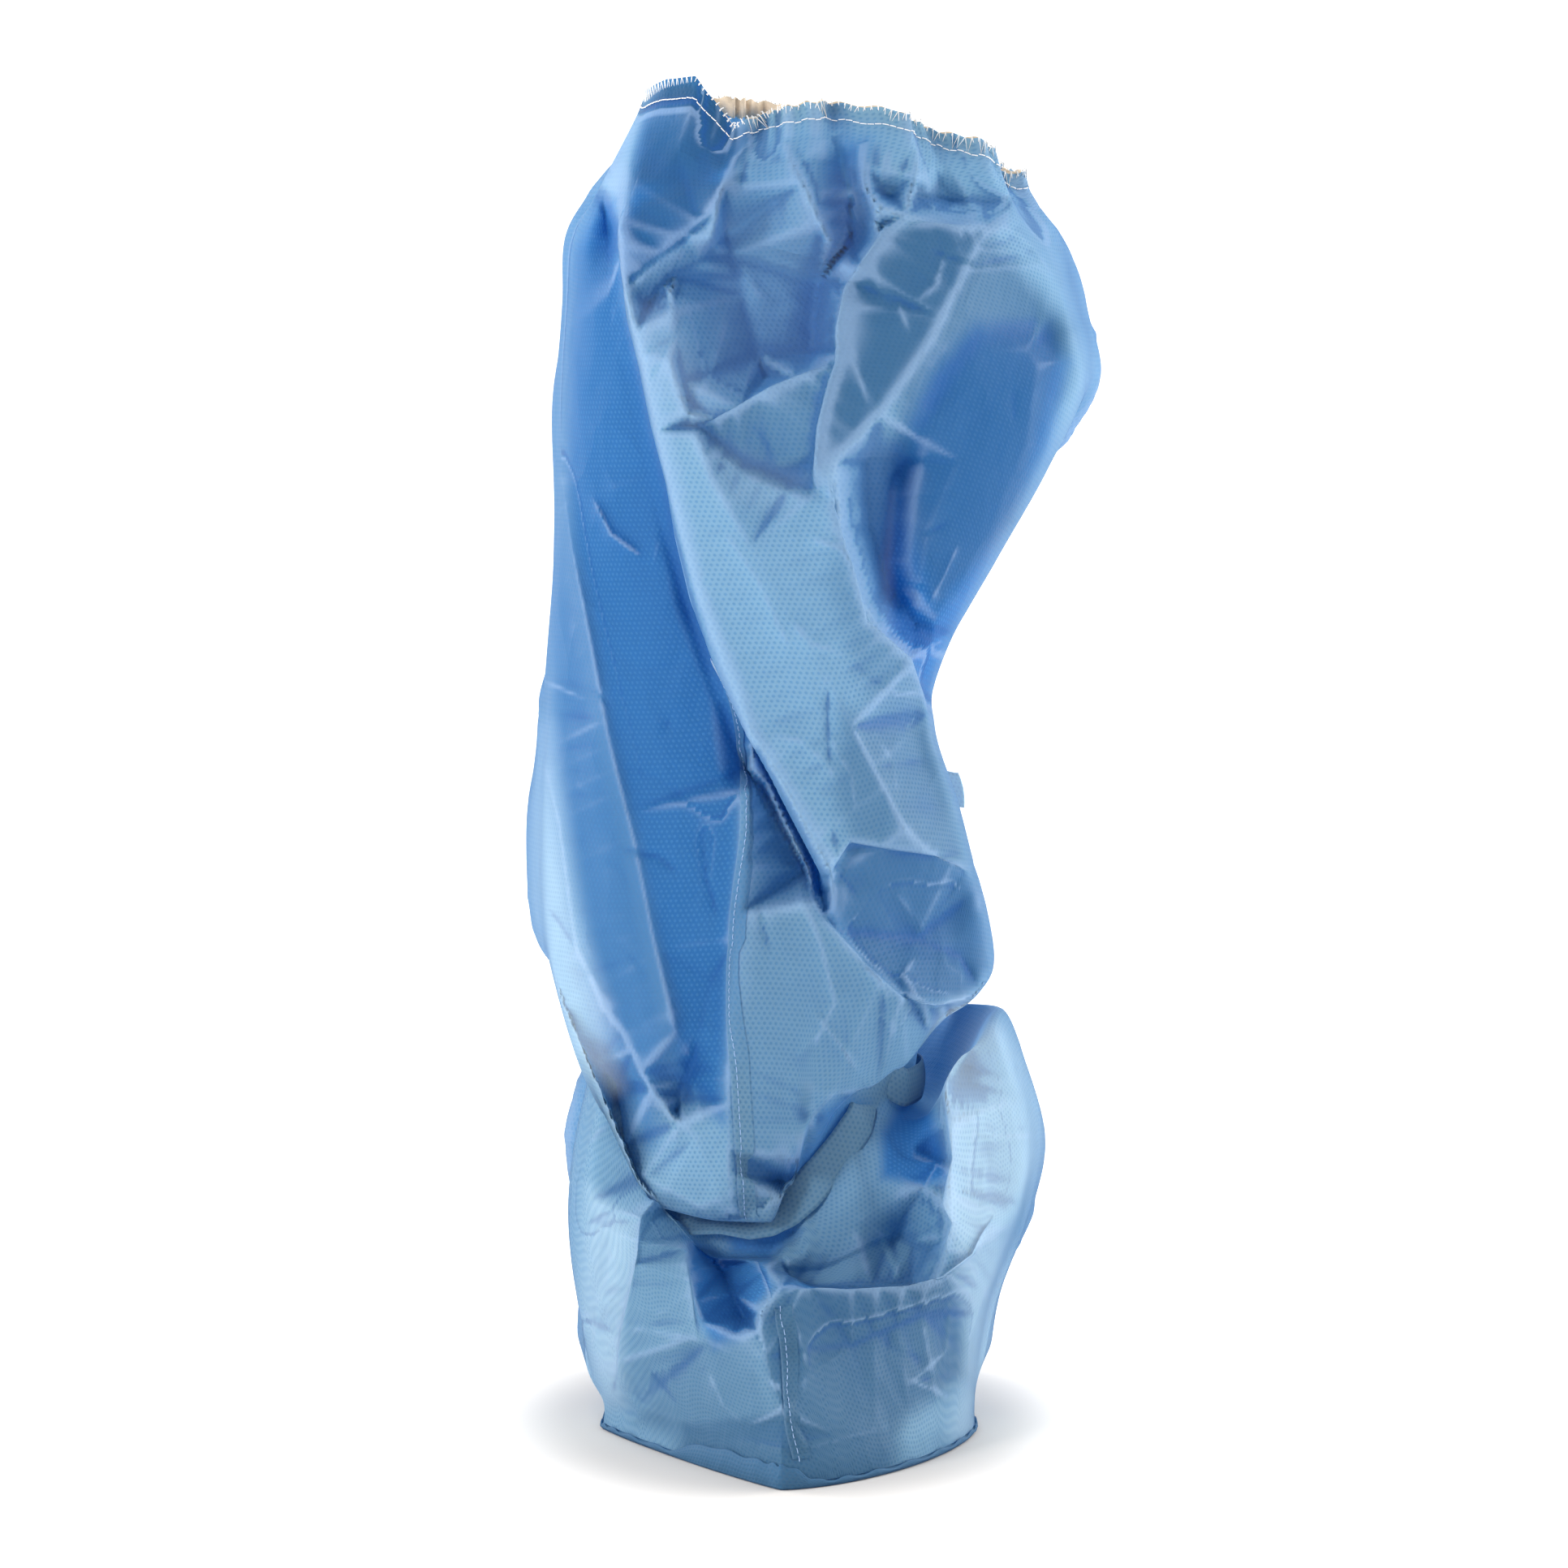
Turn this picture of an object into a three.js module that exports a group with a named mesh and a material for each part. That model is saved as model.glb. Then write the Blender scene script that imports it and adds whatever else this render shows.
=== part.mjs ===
// A knee-high boot cover of thin blue non-woven fabric, standing on its sole with its toe to the front.
//
// Two side panels, each cut in one from the leg to the foot, are sewn together up the front and up the
// back. Their lower edge is sewn into the upturned edge of a flat sole panel, and their top edge is
// gathered on an elastic. A tape tie draws the ankle in, so that the leg hangs over it as a loose pouch,
// and is knotted behind with two tails.
//
// Millimetres. +Z is up, +X is to the right and the toe points to -Y. The origin is on the floor, under the
// leg.
import * as THREE from "three";

// ---- Sizes ----

const FABRIC = 1.0; // wall of every fabric panel
const GAP = 0.4; // between two pieces that touch or are sewn together
const COLUMNS = { front: 34, back: 16 }; // mesh columns round each half of the cover
const ELASTIC = { thickness: 0.9, proud: 1.2, inside: 2.4 }; // how far it stands above and inside the rim
const TIE = { width: 12.5, thickness: 0.9, slack: 0.5 };
const KNOT = { width: 22, depth: 8, height: 14, rise: 2 };
const SOLE = { thickness: 1.5, edge: 4, toeEdge: 8.5, toeArc: 70 }; // the edge is higher round the toe
const PANEL_FOOT = SOLE.thickness + GAP; // height of the side panels' lower edge
const GATHERS = { depth: 2.8, count: 14, fade: 60, from: -35, to: 255, edge: 25 }; // degrees from the front
const FOLDS = {
  frontFade: [72, 100], // degrees from the front over which the front folds die out
  roundFade: [80, 112], // degrees from the front over which the folds of the sides and the back begin
  roundRadius: 75, // at which a degree round the axis is measured in mm
  reach: 46, // how far a fold line pulls on the fabric round it
  round: 2.5, // added to how softly every fold is rounded, so that the mesh can follow it
  strength: 1.45, // of every fold's height
  restPull: 0.0003, // how firmly fabric away from every fold keeps its ring's own shape
  floorFade: [9, 26], // heights between which the folds die out towards the sole
};
const EYE = new THREE.Vector3(0, -2500, 450); // where the front folds are seen from, see drawn()
const DRAWN_TOE = -27; // how far below the floor under the axis the tip of the toe is drawn

// ---- Tables ----

function rows(columns, table) {
  return table.map((row) => Object.fromEntries(columns.map((column, i) => [column, row[i]])));
}

// One row for each ring of the side panels, from the top down. left, right, front and back: how far it
// reaches from the axis. mid: the y of its widest line. zLeft, zRight and zMid: its height at the sides,
// and at the front and back. droop: how far its front hangs below that. pointLeft and pointRight: how round
// the two halves of its front are, 2 being an ellipse and 1 a straight edge to the toe. seam: where the
// front seam crosses it, in degrees from the front. steps: how many mesh rows lead to the next ring.
const RINGS = rows(
  [
    ...["name", "left", "right", "front", "back", "mid", "zLeft", "zRight", "zMid", "droop"],
    ...["pointLeft", "pointRight", "seam", "steps"],
  ],
  [
    ["rim", 46, 76, 46, 42, 0, 446, 425, 447, -3, 2, 2, -48, 1],
    ["hem", 48, 79, 50, 45, 0, 439, 418, 440, -3, 2, 2, -49, 2],
    ["neck", 61, 86, 61, 55, 0, 416, 407, 421, 0, 2, 2, -52, 2],
    ["shoulder", 70, 93, 71, 65, 0, 400, 394, 401, 0, 2, 2, -50, 2],
    ["chest", 72, 98, 77, 72, 0, 378, 377, 378, 0, 2, 2, -44, 3],
    ["bulge", 74, 103, 78, 75, 0, 350, 352, 350, 0, 2, 2, -37, 2],
    ["hollow_top", 75, 90, 76, 76, 0, 321, 322, 321, 0, 2, 2, -30, 3],
    ["hollow_high", 77, 73, 74, 76, 0, 292, 292, 292, 0, 2, 2, -23, 3],
    ["hollow_mid", 79, 58, 73, 75, 0, 264, 265, 264, 0, 2, 2, -17, 3],
    ["hollow_low", 80, 52, 72, 74, 0, 238, 238, 238, 0, 2, 2, -12, 3],
    ["calf", 82, 61, 73, 73, 0, 209, 208, 209, 0, 2, 2, -10, 3],
    ["pouch_top", 82, 68, 75, 72, 0, 180, 180, 181, -2, 2, 2, -12, 2],
    ["pouch", 79, 72, 78, 70, 0, 160, 157, 159, -14, 2, 2, -13, 2],
    ["pouch_low", 70, 68, 78, 66, 0, 148, 147, 149, -42, 2, 2, -13, 1],
    ["pouch_brim", 57, 58, 71, 58, 0, 139, 140, 140, -62, 2, 2, -14, 1],
    ["tuck", 49, 50, 63, 53, 0, 128, 131, 132, -52, 2, 2, -13, 1],
    ["tie_top", 44, 46, 58, 49, 0, 119, 124, 123, -42, 2, 2, -12, 1],
    ["tie_low", 44, 46, 58, 49, 0, 103, 108, 107, -42, 2, 2, -11, 1],
    ["rise", 53, 57, 68, 63, 0, 106, 111, 110, -46, 2, 2, -10, 1],
    ["instep", 61, 72, 76, 76, 0, 130, 139, 128, -64, 1.8, 1.9, -9, 2],
    ["upper", 68, 82, 87, 86, -2, 109, 119, 110, -47, 1.6, 1.8, -9, 2],
    ["wide", 72, 86, 101, 96, -6, 87, 94, 86, -24, 1.5, 1.75, -8, 2],
    ["middle", 73, 81, 113, 103, -10, 66, 68, 62, -7, 1.35, 1.7, -6, 2],
    ["low", 70, 71, 124, 107, -16, 42, 42, 39, 0, 1.25, 1.6, -2, 2],
    ["lower", 65, 66, 133, 108, -22, 19, 19, 19, 0, 1.15, 1.55, 3, 1],
    ["sole_edge", 60, 65, 138, 107, -28, 9, 9, 9, 0, 1.1, 1.55, 6, 1],
    ["sole", 60, 65, 138, 107, -28, PANEL_FOOT, PANEL_FOOT, PANEL_FOOT, 0, 1.1, 1.55, 6, 0],
  ],
);
// How much of a ring's droop it has at each angle from the front, in degrees, positive to the right: in the
// leg's pouch, along the tie and in the foot.
const DROOP = rows(
  ["angle", "pouch", "tie", "foot"],
  [
    [-180, 0, 0, 0],
    [-90, 0, 0, 0],
    [-72, 0.3, 0.25, 0.15],
    [-48, 0.8, 0.7, 0.75],
    [-22, 1, 1, 1],
    [-4, 1, 1, 1],
    [3, 0.8, 0.85, 1],
    [10, 0.46, 0.66, 1],
    [30, 0.38, 0.14, 0.92],
    [44, 0.26, 0.02, 0.6],
    [60, 0.05, 0, 0.12],
    [90, 0, 0, 0],
    [180, 0, 0, 0],
  ],
);

// One row for each fold line: how far it stands out from the ring's shape (in, if negative), how softly it is
// rounded, and its points as [right, up]. Those in front are drawn as drawn() describes.
const FOLD_COLUMNS = ["name", "out", "soft", "line"];
const LEG_FOLDS = rows(FOLD_COLUMNS, [
  ["sash_edge", 11, 2,
    [[-44, 471], [-51, 452], [-54, 440], [-52, 412], [-47, 390], [-40, 354], [-29, 310], [-20, 284],
     [-11, 262], [2, 238], [17, 208]]],
  ["under_sash", -16, 3,
    [[-62, 440], [-62, 400], [-54, 364], [-46, 330], [-37, 300], [-29, 276], [-20, 254], [-8, 232],
     [4, 214]]],
  ["left_crease", 5, 3, [[-75, 344], [-66, 298], [-56, 248], [-47, 210], [-38, 170], [-36, 158]]],
  ["left_edge_crease", 4, 4, [[-80, 254], [-73, 214], [-69, 184], [-60, 166]]],
  ["sash_middle", 11, 8, [[-36, 385], [-22, 345], [2, 300], [24, 262], [42, 228]]],
  ["sash_right_edge", 10, 2, [[19, 351], [22, 330], [30, 303], [36, 294], [45, 286]]],
  ["behind_sash", -12, 4, [[29, 352], [31, 330], [37, 310], [46, 298]]],
  ["sash_tip", 6, 2, [[17, 208], [34, 222], [52, 218], [69, 209]]],
  ["sash_slit", -18, 3, [[-8, 252], [6, 224], [13, 205]]],
  ["slit_edge", 2, 2, [[-10, 250], [4, 218], [12, 203], [24, 188], [34, 178]]],
  ["front_seam", 4, 3, [[-12, 262], [-12, 232], [-15, 190], [-18, 150], [-18, 110], [-16, 95]]],
  ["dark_facet", -9, 6, [[46, 190], [60, 184]]],
  ["facet_foot", 4, 3, [[34, 178], [48, 167], [62, 169]]],
  ["lower_left_facet", 3, 3, [[-54, 158], [-44, 138], [-24, 116], [-22, 100]]],
  ["lower_left_hollow", -6, 5, [[-36, 130], [-30, 148], [-24, 176]]],
  ["flap_edge", 6, 2, [[-51, 408], [-44, 416], [-33, 427], [-22, 437]]],
  ["under_flap", -5, 3, [[-44, 404], [-34, 414], [-22, 424]]],
  ["bowl_left", 5, 2, [[-37, 410], [-34, 386], [-29, 364]]],
  ["bowl", -15, 6, [[-18, 428], [-12, 400], [-6, 382]]],
  ["bowl_brim", 6, 2, [[-29, 364], [-8, 375], [10, 385], [19, 389]]],
  ["chest_facet", 2, 5, [[-29, 364], [-12, 352], [11, 342]]],
  ["petal_left_edge", 11, 2, [[33, 437], [32, 428], [22, 412], [20, 404], [19, 388], [15, 366], [11, 342]]],
  ["under_petal", -20, 3, [[24, 440], [22, 426], [12, 412], [10, 398], [10, 390]]],
  ["petal_top", 9, 2, [[33, 434], [50, 434], [70, 430]]],
  ["above_petal", -8, 3, [[36, 441], [52, 441], [68, 439]]],
  ["petal_fold", 8, 2, [[70, 430], [62, 416], [50, 392], [38, 374], [28, 360], [19, 351]]],
  ["right_hollow", -8, 6, [[84, 390], [66, 366], [50, 330], [46, 306]]],
  ["right_edge", 3, 3, [[70, 430], [86, 417], [97, 406], [101, 395]]],
  ["left_pleat", 5, 2, [[-6, 465], [-15, 456], [-21, 438], [-23, 427]]],
  ["middle_pleat", 4, 2, [[-2, 464], [7, 445], [22, 412]]],
  ["right_pleat", 4, 2, [[27, 464], [29, 443], [33, 430]]],
  ["far_pleat", 4, 2, [[47, 461], [42, 440]]],
  ["pleat_recess", -10, 2, [[18, 460], [23, 444], [28, 434]]],
  ["arch", 2, 3, [[7, 113], [11, 129], [17, 136], [28, 138], [37, 134]]],
  ["arch_hollow", -12, 4, [[2, 106], [14, 118], [26, 128]]],
]);
const FOOT_FOLDS = rows(FOLD_COLUMNS, [
  ["left_lobe_edge", 6, 2, [[-39, 106], [-47, 94], [-50, 78], [-55, 50], [-57, 24]]],
  ["left_lobe", 0, 6, [[-62, 130], [-66, 100], [-66, 60]]],
  ["pit_left", 2, 2, [[-31, 84], [-28, 66], [-24, 52]]],
  ["pit", -18, 4, [[-30, 98], [-20, 76], [-12, 60]]],
  ["pit_foot", 3, 3, [[-24, 52], [-16, 54], [-8, 54]]],
  ["toe_seam", 5, 2, [[-8, 55], [-3, 38], [1, 27], [8, 13]]],
  ["toe_brim", 8, 2, [[-7, 62], [0, 70], [24, 70], [50, 71], [64, 79], [80, 93]]],
  ["under_spike", -13, 3, [[4, 74], [24, 73], [44, 74]]],
  ["spike", 4, 2, [[-4, 77], [10, 92], [20, 100]]],
  ["right_shelf", 2, 3, [[30, 104], [34, 110], [55, 104]]],
  ["right_hollow", -14, 4, [[40, 128], [46, 118]]],
  ["shelf_hollow", -10, 4, [[38, 90], [50, 84]]],
  ["right_lobe_edge", 6, 2, [[52, 152], [58, 128], [58, 104], [54, 82]]],
  ["toe_face", -4, 8, [[24, 50], [48, 60]]],
]);
// Round the sides and the back, folds stand out from the axis, and their points are [degrees from the
// front, height], turning by the right, so that 180 is the back.
const LEG_ROUND_FOLDS = rows(FOLD_COLUMNS, [
  ["back_seam", 3, 3, [[180, 440], [182, 340], [179, 240], [180, 150]]],
  ["right_drape", 7, 3, [[78, 395], [100, 350], [130, 300], [165, 245], [190, 200], [215, 165]]],
  ["under_right_drape", -10, 4, [[95, 335], [125, 285], [160, 230], [185, 190]]],
  ["back_drape", 6, 3, [[150, 410], [180, 350], [210, 300], [240, 240], [262, 190]]],
  ["under_back_drape", -9, 4, [[160, 375], [185, 320], [215, 270], [238, 215]]],
  ["left_drape", 5, 3, [[225, 415], [250, 360], [275, 310], [290, 262]]],
  ["under_left_drape", -7, 4, [[228, 385], [250, 330], [268, 285]]],
  ["right_low_hollow", -7, 5, [[95, 230], [120, 200], [140, 180]]],
]);
const FOOT_ROUND_FOLDS = rows(FOLD_COLUMNS, [
  ["heel_seam", 4, 3, [[180, 126], [180, 16]]],
  ["right_fold", 6, 3, [[75, 130], [95, 95], [110, 60], [112, 24]]],
  ["right_dent", -9, 5, [[108, 112], [124, 80], [126, 50]]],
  ["heel_fold_right", 5, 3, [[140, 124], [150, 84], [140, 44]]],
  ["heel_dent_right", -8, 5, [[163, 108], [166, 70]]],
  ["heel_fold_left", 6, 3, [[205, 122], [214, 84], [204, 40]]],
  ["heel_dent_left", -8, 5, [[192, 100], [190, 60]]],
  ["left_fold", 6, 3, [[240, 128], [250, 92], [236, 50], [240, 22]]],
  ["left_dent", -8, 5, [[226, 110], [228, 76]]],
  ["left_front_dent", -5, 5, [[262, 100], [258, 60]]],
]);

// Each tail of the tie lies on the panels: the ring it crosses, at which angle, and how far off it its
// middle is.
const TAIL_COLUMNS = ["ring", "angle", "lift"];
const TAILS = {
  tie_tail_right: rows(TAIL_COLUMNS, [
    ["tie_top", 164, 7],
    ["pouch_brim", 162, 7],
    ["pouch_low", 160, 5],
    ["pouch_top", 146, 3],
    ["calf", 124, 4],
    ["calf", 106, 13],
  ]),
  tie_tail_left: rows(TAIL_COLUMNS, [
    ["tie_top", -164, 7],
    ["instep", -160, 7],
    ["upper", -158, 4],
    ["wide", -157, 3],
    ["middle", -156, 4],
  ]),
};
const TAIL_LENGTHS = 12; // mesh lengths along a tail
const SMALL_STEP = 0.02; // of a ring or a radian, for the slope of the surface

// ---- Small helpers ----

const { clamp, degToRad, lerp, radToDeg } = THREE.MathUtils;

function smooth(low, high, value) {
  return THREE.MathUtils.smoothstep(value, low, high);
}

function ringNumber(name) {
  return RINGS.findIndex((ring) => ring.name === name);
}

// Catmull-Rom down a column of the rings; t counts rings from the rim.
function along(column, t) {
  const last = RINGS.length - 1;
  const i = Math.min(Math.floor(t), last - 1);
  const [a, b, c, d] = [i - 1, i, i + 1, i + 2].map((k) => RINGS[clamp(k, 0, last)][column]);
  const s = t - i;
  return b + 0.5 * s * (c - a + s * (2 * a - 5 * b + 4 * c - d + s * (3 * (b - c) + d - a)));
}

function droopShare(t, angle) {
  const degrees = radToDeg(angle);
  const i = DROOP.findIndex((row, k) => k > 0 && degrees <= row.angle);
  const [a, b] = [DROOP[i - 1], DROOP[i]];
  const share = (column) => lerp(a[column], b[column], smooth(a.angle, b.angle, degrees));
  const drawnIn = smooth(ringNumber("pouch_brim"), ringNumber("tie_top"), t);
  const below = lerp(share("pouch"), share("tie"), drawnIn);
  return lerp(below, share("foot"), smooth(ringNumber("tie_low"), ringNumber("instep"), t));
}

// ---- The form without folds ----

// angle is 0 at the front, positive to the right.
function ringPoint(t, angle) {
  const at = (column) => along(column, t);
  const [sine, cosine] = [Math.sin(angle), Math.cos(angle)];
  const power = cosine > 0 ? 2 / at(sine > 0 ? "pointRight" : "pointLeft") : 1;
  const [wide, deep] = [Math.abs(sine) ** power, Math.abs(cosine) ** power];
  const mid = at("mid");
  const x = sine > 0 ? at("right") * wide : -at("left") * wide;
  const y = cosine > 0 ? mid - (at("front") + mid) * deep : mid + (at("back") - mid) * deep;
  const level = lerp(at("zMid"), sine > 0 ? at("zRight") : at("zLeft"), sine * sine);
  return new THREE.Vector3(x, y, level + at("droop") * droopShare(t, angle));
}

// ---- Folds ----

// Where a point is drawn: on an upright pane through the axis, as seen from EYE, in mm to the right of the
// axis and mm above the drawn tip of the toe.
function drawn(point) {
  const scale = EYE.y / (EYE.y - point.y);
  return [point.x * scale, EYE.z + (point.z - EYE.z) * scale - DRAWN_TOE];
}

// across is the length of one unit of the first coordinate, in mm.
function distanceToLine([x, up], line, across) {
  let nearest = Infinity;
  for (let i = 1; i < line.length; i++) {
    const [px, py] = [(x - line[i - 1][0]) * across, up - line[i - 1][1]];
    const [dx, dy] = [(line[i][0] - line[i - 1][0]) * across, line[i][1] - line[i - 1][1]];
    const s = clamp((px * dx + py * dy) / (dx * dx + dy * dy), 0, 1);
    nearest = Math.min(nearest, Math.hypot(px - s * dx, py - s * dy));
  }
  return nearest;
}

// Fabric is drawn tight between fold lines, so a point's height is the mean of the lines round it, each
// weighed by how near it is.
function foldHeight(folds, position, across) {
  let [sum, weights] = [0, FOLDS.restPull];
  for (const fold of folds) {
    const distance = Math.hypot(distanceToLine(position, fold.line, across), fold.soft + FOLDS.round);
    const weight = Math.max(0, 1 / distance - 1 / FOLDS.reach) ** 2;
    sum += weight * fold.out * FOLDS.strength;
    weights += weight;
  }
  return sum / weights;
}

// Pleats under the elastic, deepest at the rim, where the edge is drawn up.
function gatherDepth(angle, drop) {
  const turned = radToDeg(angle) < GATHERS.to - 360 ? radToDeg(angle) + 360 : radToDeg(angle);
  const { from, to, edge } = GATHERS;
  const share = smooth(from, from + edge, turned) - smooth(to - edge, to, turned);
  const wave = Math.sin(GATHERS.count * angle + Math.sin(3 * angle));
  return GATHERS.depth * share * wave * Math.max(0, 1 - drop / GATHERS.fade) ** 1.5;
}

const TIE_TOP = ringNumber("tie_top");
const TIE_LOW = ringNumber("tie_low");

// The outer face of the side panels at ring t and an angle.
function surface(t, angle) {
  const point = ringPoint(t, angle);
  const onLeg = t < (TIE_TOP + TIE_LOW) / 2;
  const loose = onLeg ? smooth(1, 2.5, t) * smooth(1, 2.5, TIE_TOP - t) : smooth(1, 2.5, t - TIE_LOW);
  const share = loose * smooth(...FOLDS.floorFade, point.z);
  const degrees = radToDeg(angle);
  const outward = new THREE.Vector3(point.x, point.y, 0).normalize();
  const towardsEye = EYE.clone().sub(point).normalize();
  const front = foldHeight(onLeg ? LEG_FOLDS : FOOT_FOLDS, drawn(point), 1);
  const position = [degrees < 0 ? degrees + 360 : degrees, point.z];
  const round = foldHeight(onLeg ? LEG_ROUND_FOLDS : FOOT_ROUND_FOLDS, position, degToRad(FOLDS.roundRadius));
  point.addScaledVector(towardsEye, share * front * (1 - smooth(...FOLDS.frontFade, Math.abs(degrees))));
  point.addScaledVector(outward, share * round * smooth(...FOLDS.roundFade, Math.abs(degrees)));
  return point.addScaledVector(outward, gatherDepth(angle, RINGS[0].zMid - along("zMid", t)));
}

// ---- The mesh of the form ----

// The ring number of every mesh row, from the rim down.
function rowRings() {
  const stepsFrom = (ring, i) => Array.from({ length: ring.steps }, (_, k) => i + k / ring.steps);
  return [...RINGS.flatMap(stepsFrom), RINGS.length - 1];
}

// The angle of every mesh column, from the back seam, round by the left and the front, to the back seam
// again.
function columnAngles() {
  const steps = (count, from, to) => Array.from({ length: count }, (_, i) => lerp(from, to, i / count));
  const half = Math.PI / 2;
  const { front, back } = COLUMNS;
  const [left, right] = [steps(back / 2, -Math.PI, -half), steps(back / 2, half, Math.PI)];
  return [...left, ...steps(front, -half, half), ...right, Math.PI];
}
const ROWS = rowRings();
const ANGLES = columnAngles();
const FRONT_COLUMN = COLUMNS.back / 2 + COLUMNS.front / 2;

// Columns near the front are turned so that the middle one lies on the front seam.
function turned(t, angle) {
  return angle + degToRad(along("seam", t)) * (1 - Math.abs(angle) / Math.PI);
}

function outerFace() {
  return ROWS.map((t) => ANGLES.map((angle) => surface(t, turned(t, angle))));
}

// A face moved inwards along its own normals, or outwards if the distance is negative. Its first and last
// columns are the same line.
function inset(face, distance) {
  const last = face[0].length - 1;
  return face.map((row, i) =>
    row.map((point, j) => {
      const atBack = j === 0 || j === last;
      const right = row[atBack ? 1 : j + 1].clone().sub(row[atBack ? last - 1 : j - 1]);
      const down = face[Math.min(i + 1, face.length - 1)][j].clone().sub(face[Math.max(i - 1, 0)][j]);
      return point.clone().addScaledVector(right.cross(down).normalize(), distance);
    }),
  );
}

// A closed skin over loops of points. Each loop has the same number of points and joins the next one. The
// loops are either closed round and joined back to the first, as in a band, or capped at the first and last
// loop, as in a bar.
function skin(loops, joined) {
  const size = loops[0].length;
  const triangles = [];
  const quads = joined ? loops.length : loops.length - 1;
  for (let i = 0; i < quads; i++) {
    const above = loops[i];
    const below = loops[(i + 1) % loops.length];
    const [a, b] = [i * size, ((i + 1) % loops.length) * size];
    for (let j = 0; j < size; j++) {
      const k = (j + 1) % size;
      // along the shorter diagonal
      const split = above[j].distanceTo(below[k]) <= below[j].distanceTo(above[k]);
      if (split) triangles.push(a + j, b + j, b + k, a + j, b + k, a + k);
      else triangles.push(a + j, b + j, a + k, b + j, b + k, a + k);
    }
  }
  const end = (loops.length - 1) * size;
  for (let j = 1; !joined && j < size - 1; j++) {
    triangles.push(0, j, j + 1, end, end + j + 1, end + j);
  }
  return new THREE.BufferGeometry().setFromPoints(loops.flat()).setIndex(triangles);
}

// ---- The pieces ----

const FABRIC_BLUE = { color: 0x4f8fd0, roughness: 0.62, metalness: 0 };
const SOLE_BLUE = { color: 0x3f7ec4, roughness: 0.7, metalness: 0 };
const TAPE_BLUE = { color: 0x86a6d6, roughness: 0.7, metalness: 0 };
const CREAM = { color: 0xe6d3b8, roughness: 0.8, metalness: 0 };

function piece(name, geometry, finish) {
  geometry.computeVertexNormals();
  const mesh = new THREE.Mesh(geometry, new THREE.MeshStandardMaterial(finish));
  mesh.name = name;
  return mesh;
}

// A side panel runs from one seam column to another. Its two long edges are drawn back by half a gap.
function sidePanel(name, outer, from, to) {
  const inner = inset(outer, FABRIC);
  const half = (face) =>
    face.map((row) => {
      const part = row.slice(from, to + 1).map((point) => point.clone());
      const pull = (end, next) => end.add(next.clone().sub(end).setLength(GAP / 2));
      pull(part[0], part[1]);
      pull(part.at(-1), part.at(-2));
      return part;
    });
  const [outside, inside] = [half(outer), half(inner)];
  const crossSections = outside.map((row, i) => [...row, ...inside[i].reverse()]);
  return piece(name, panelSkin(crossSections), FABRIC_BLUE);
}

// As skin(), with its two ends capped by strips between the panel's outer and inner edge.
function panelSkin(sections) {
  const geometry = skin(sections, false);
  const size = sections[0].length;
  const body = Array.from(geometry.index.array).slice(0, (sections.length - 1) * size * 6);
  const end = (sections.length - 1) * size;
  for (let j = 0; j < size / 2 - 1; j++) {
    const k = size - 1 - j;
    body.push(j, j + 1, k, j + 1, k - 1, k);
    body.push(end + j, end + k, end + j + 1, end + j + 1, end + k, end + k - 1);
  }
  return geometry.setIndex(body);
}

// The elastic lines the rim, and its upper edge peeps out above the fabric.
function elastic(outer) {
  const loop = (row, inside, above) =>
    outer[row].slice(0, -1).map((point) => {
      const inward = new THREE.Vector3(-point.x, -point.y, 0).setLength(inside);
      return point.clone().add(inward).setZ(point.z + above);
    });
  const [near, far] = [ELASTIC.inside, ELASTIC.inside + ELASTIC.thickness];
  const { proud } = ELASTIC;
  const loops = [loop(0, near, proud), loop(1, near, 0), loop(1, far, 0), loop(0, far, proud)];
  return piece("elastic", skin(loops, true), CREAM);
}

// Where the tie lies on the drawn-in ankle, halfway between its two rings.
function ankle(angle) {
  return surface(TIE_TOP, angle).lerp(surface(TIE_LOW, angle), 0.5);
}

function tieBand() {
  const reach = (angle, lift, dz) => {
    const point = ankle(angle);
    const outward = new THREE.Vector3(point.x, point.y, 0).normalize();
    return point.addScaledVector(outward, lift).setZ(point.z + dz);
  };
  const loop = (lift, dz) => ANGLES.slice(0, -1).map((angle) => reach(angle, lift, dz));
  const [near, far, half] = [GAP + TIE.slack, GAP + TIE.slack + TIE.thickness, TIE.width / 2];
  const loops = [loop(far, half), loop(far, -half), loop(near, -half), loop(near, half)];
  return piece("ankle_tie", skin(loops, true), TAPE_BLUE);
}

function tieKnot() {
  const at = ankle(Math.PI);
  const geometry = new THREE.SphereGeometry(0.5, 10, 6).scale(KNOT.width, KNOT.depth, KNOT.height);
  const clear = 2 * GAP + TIE.slack + TIE.thickness + KNOT.depth / 2;
  return piece("tie_knot", geometry.translate(at.x, at.y + clear, at.z + KNOT.rise), TAPE_BLUE);
}

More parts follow.
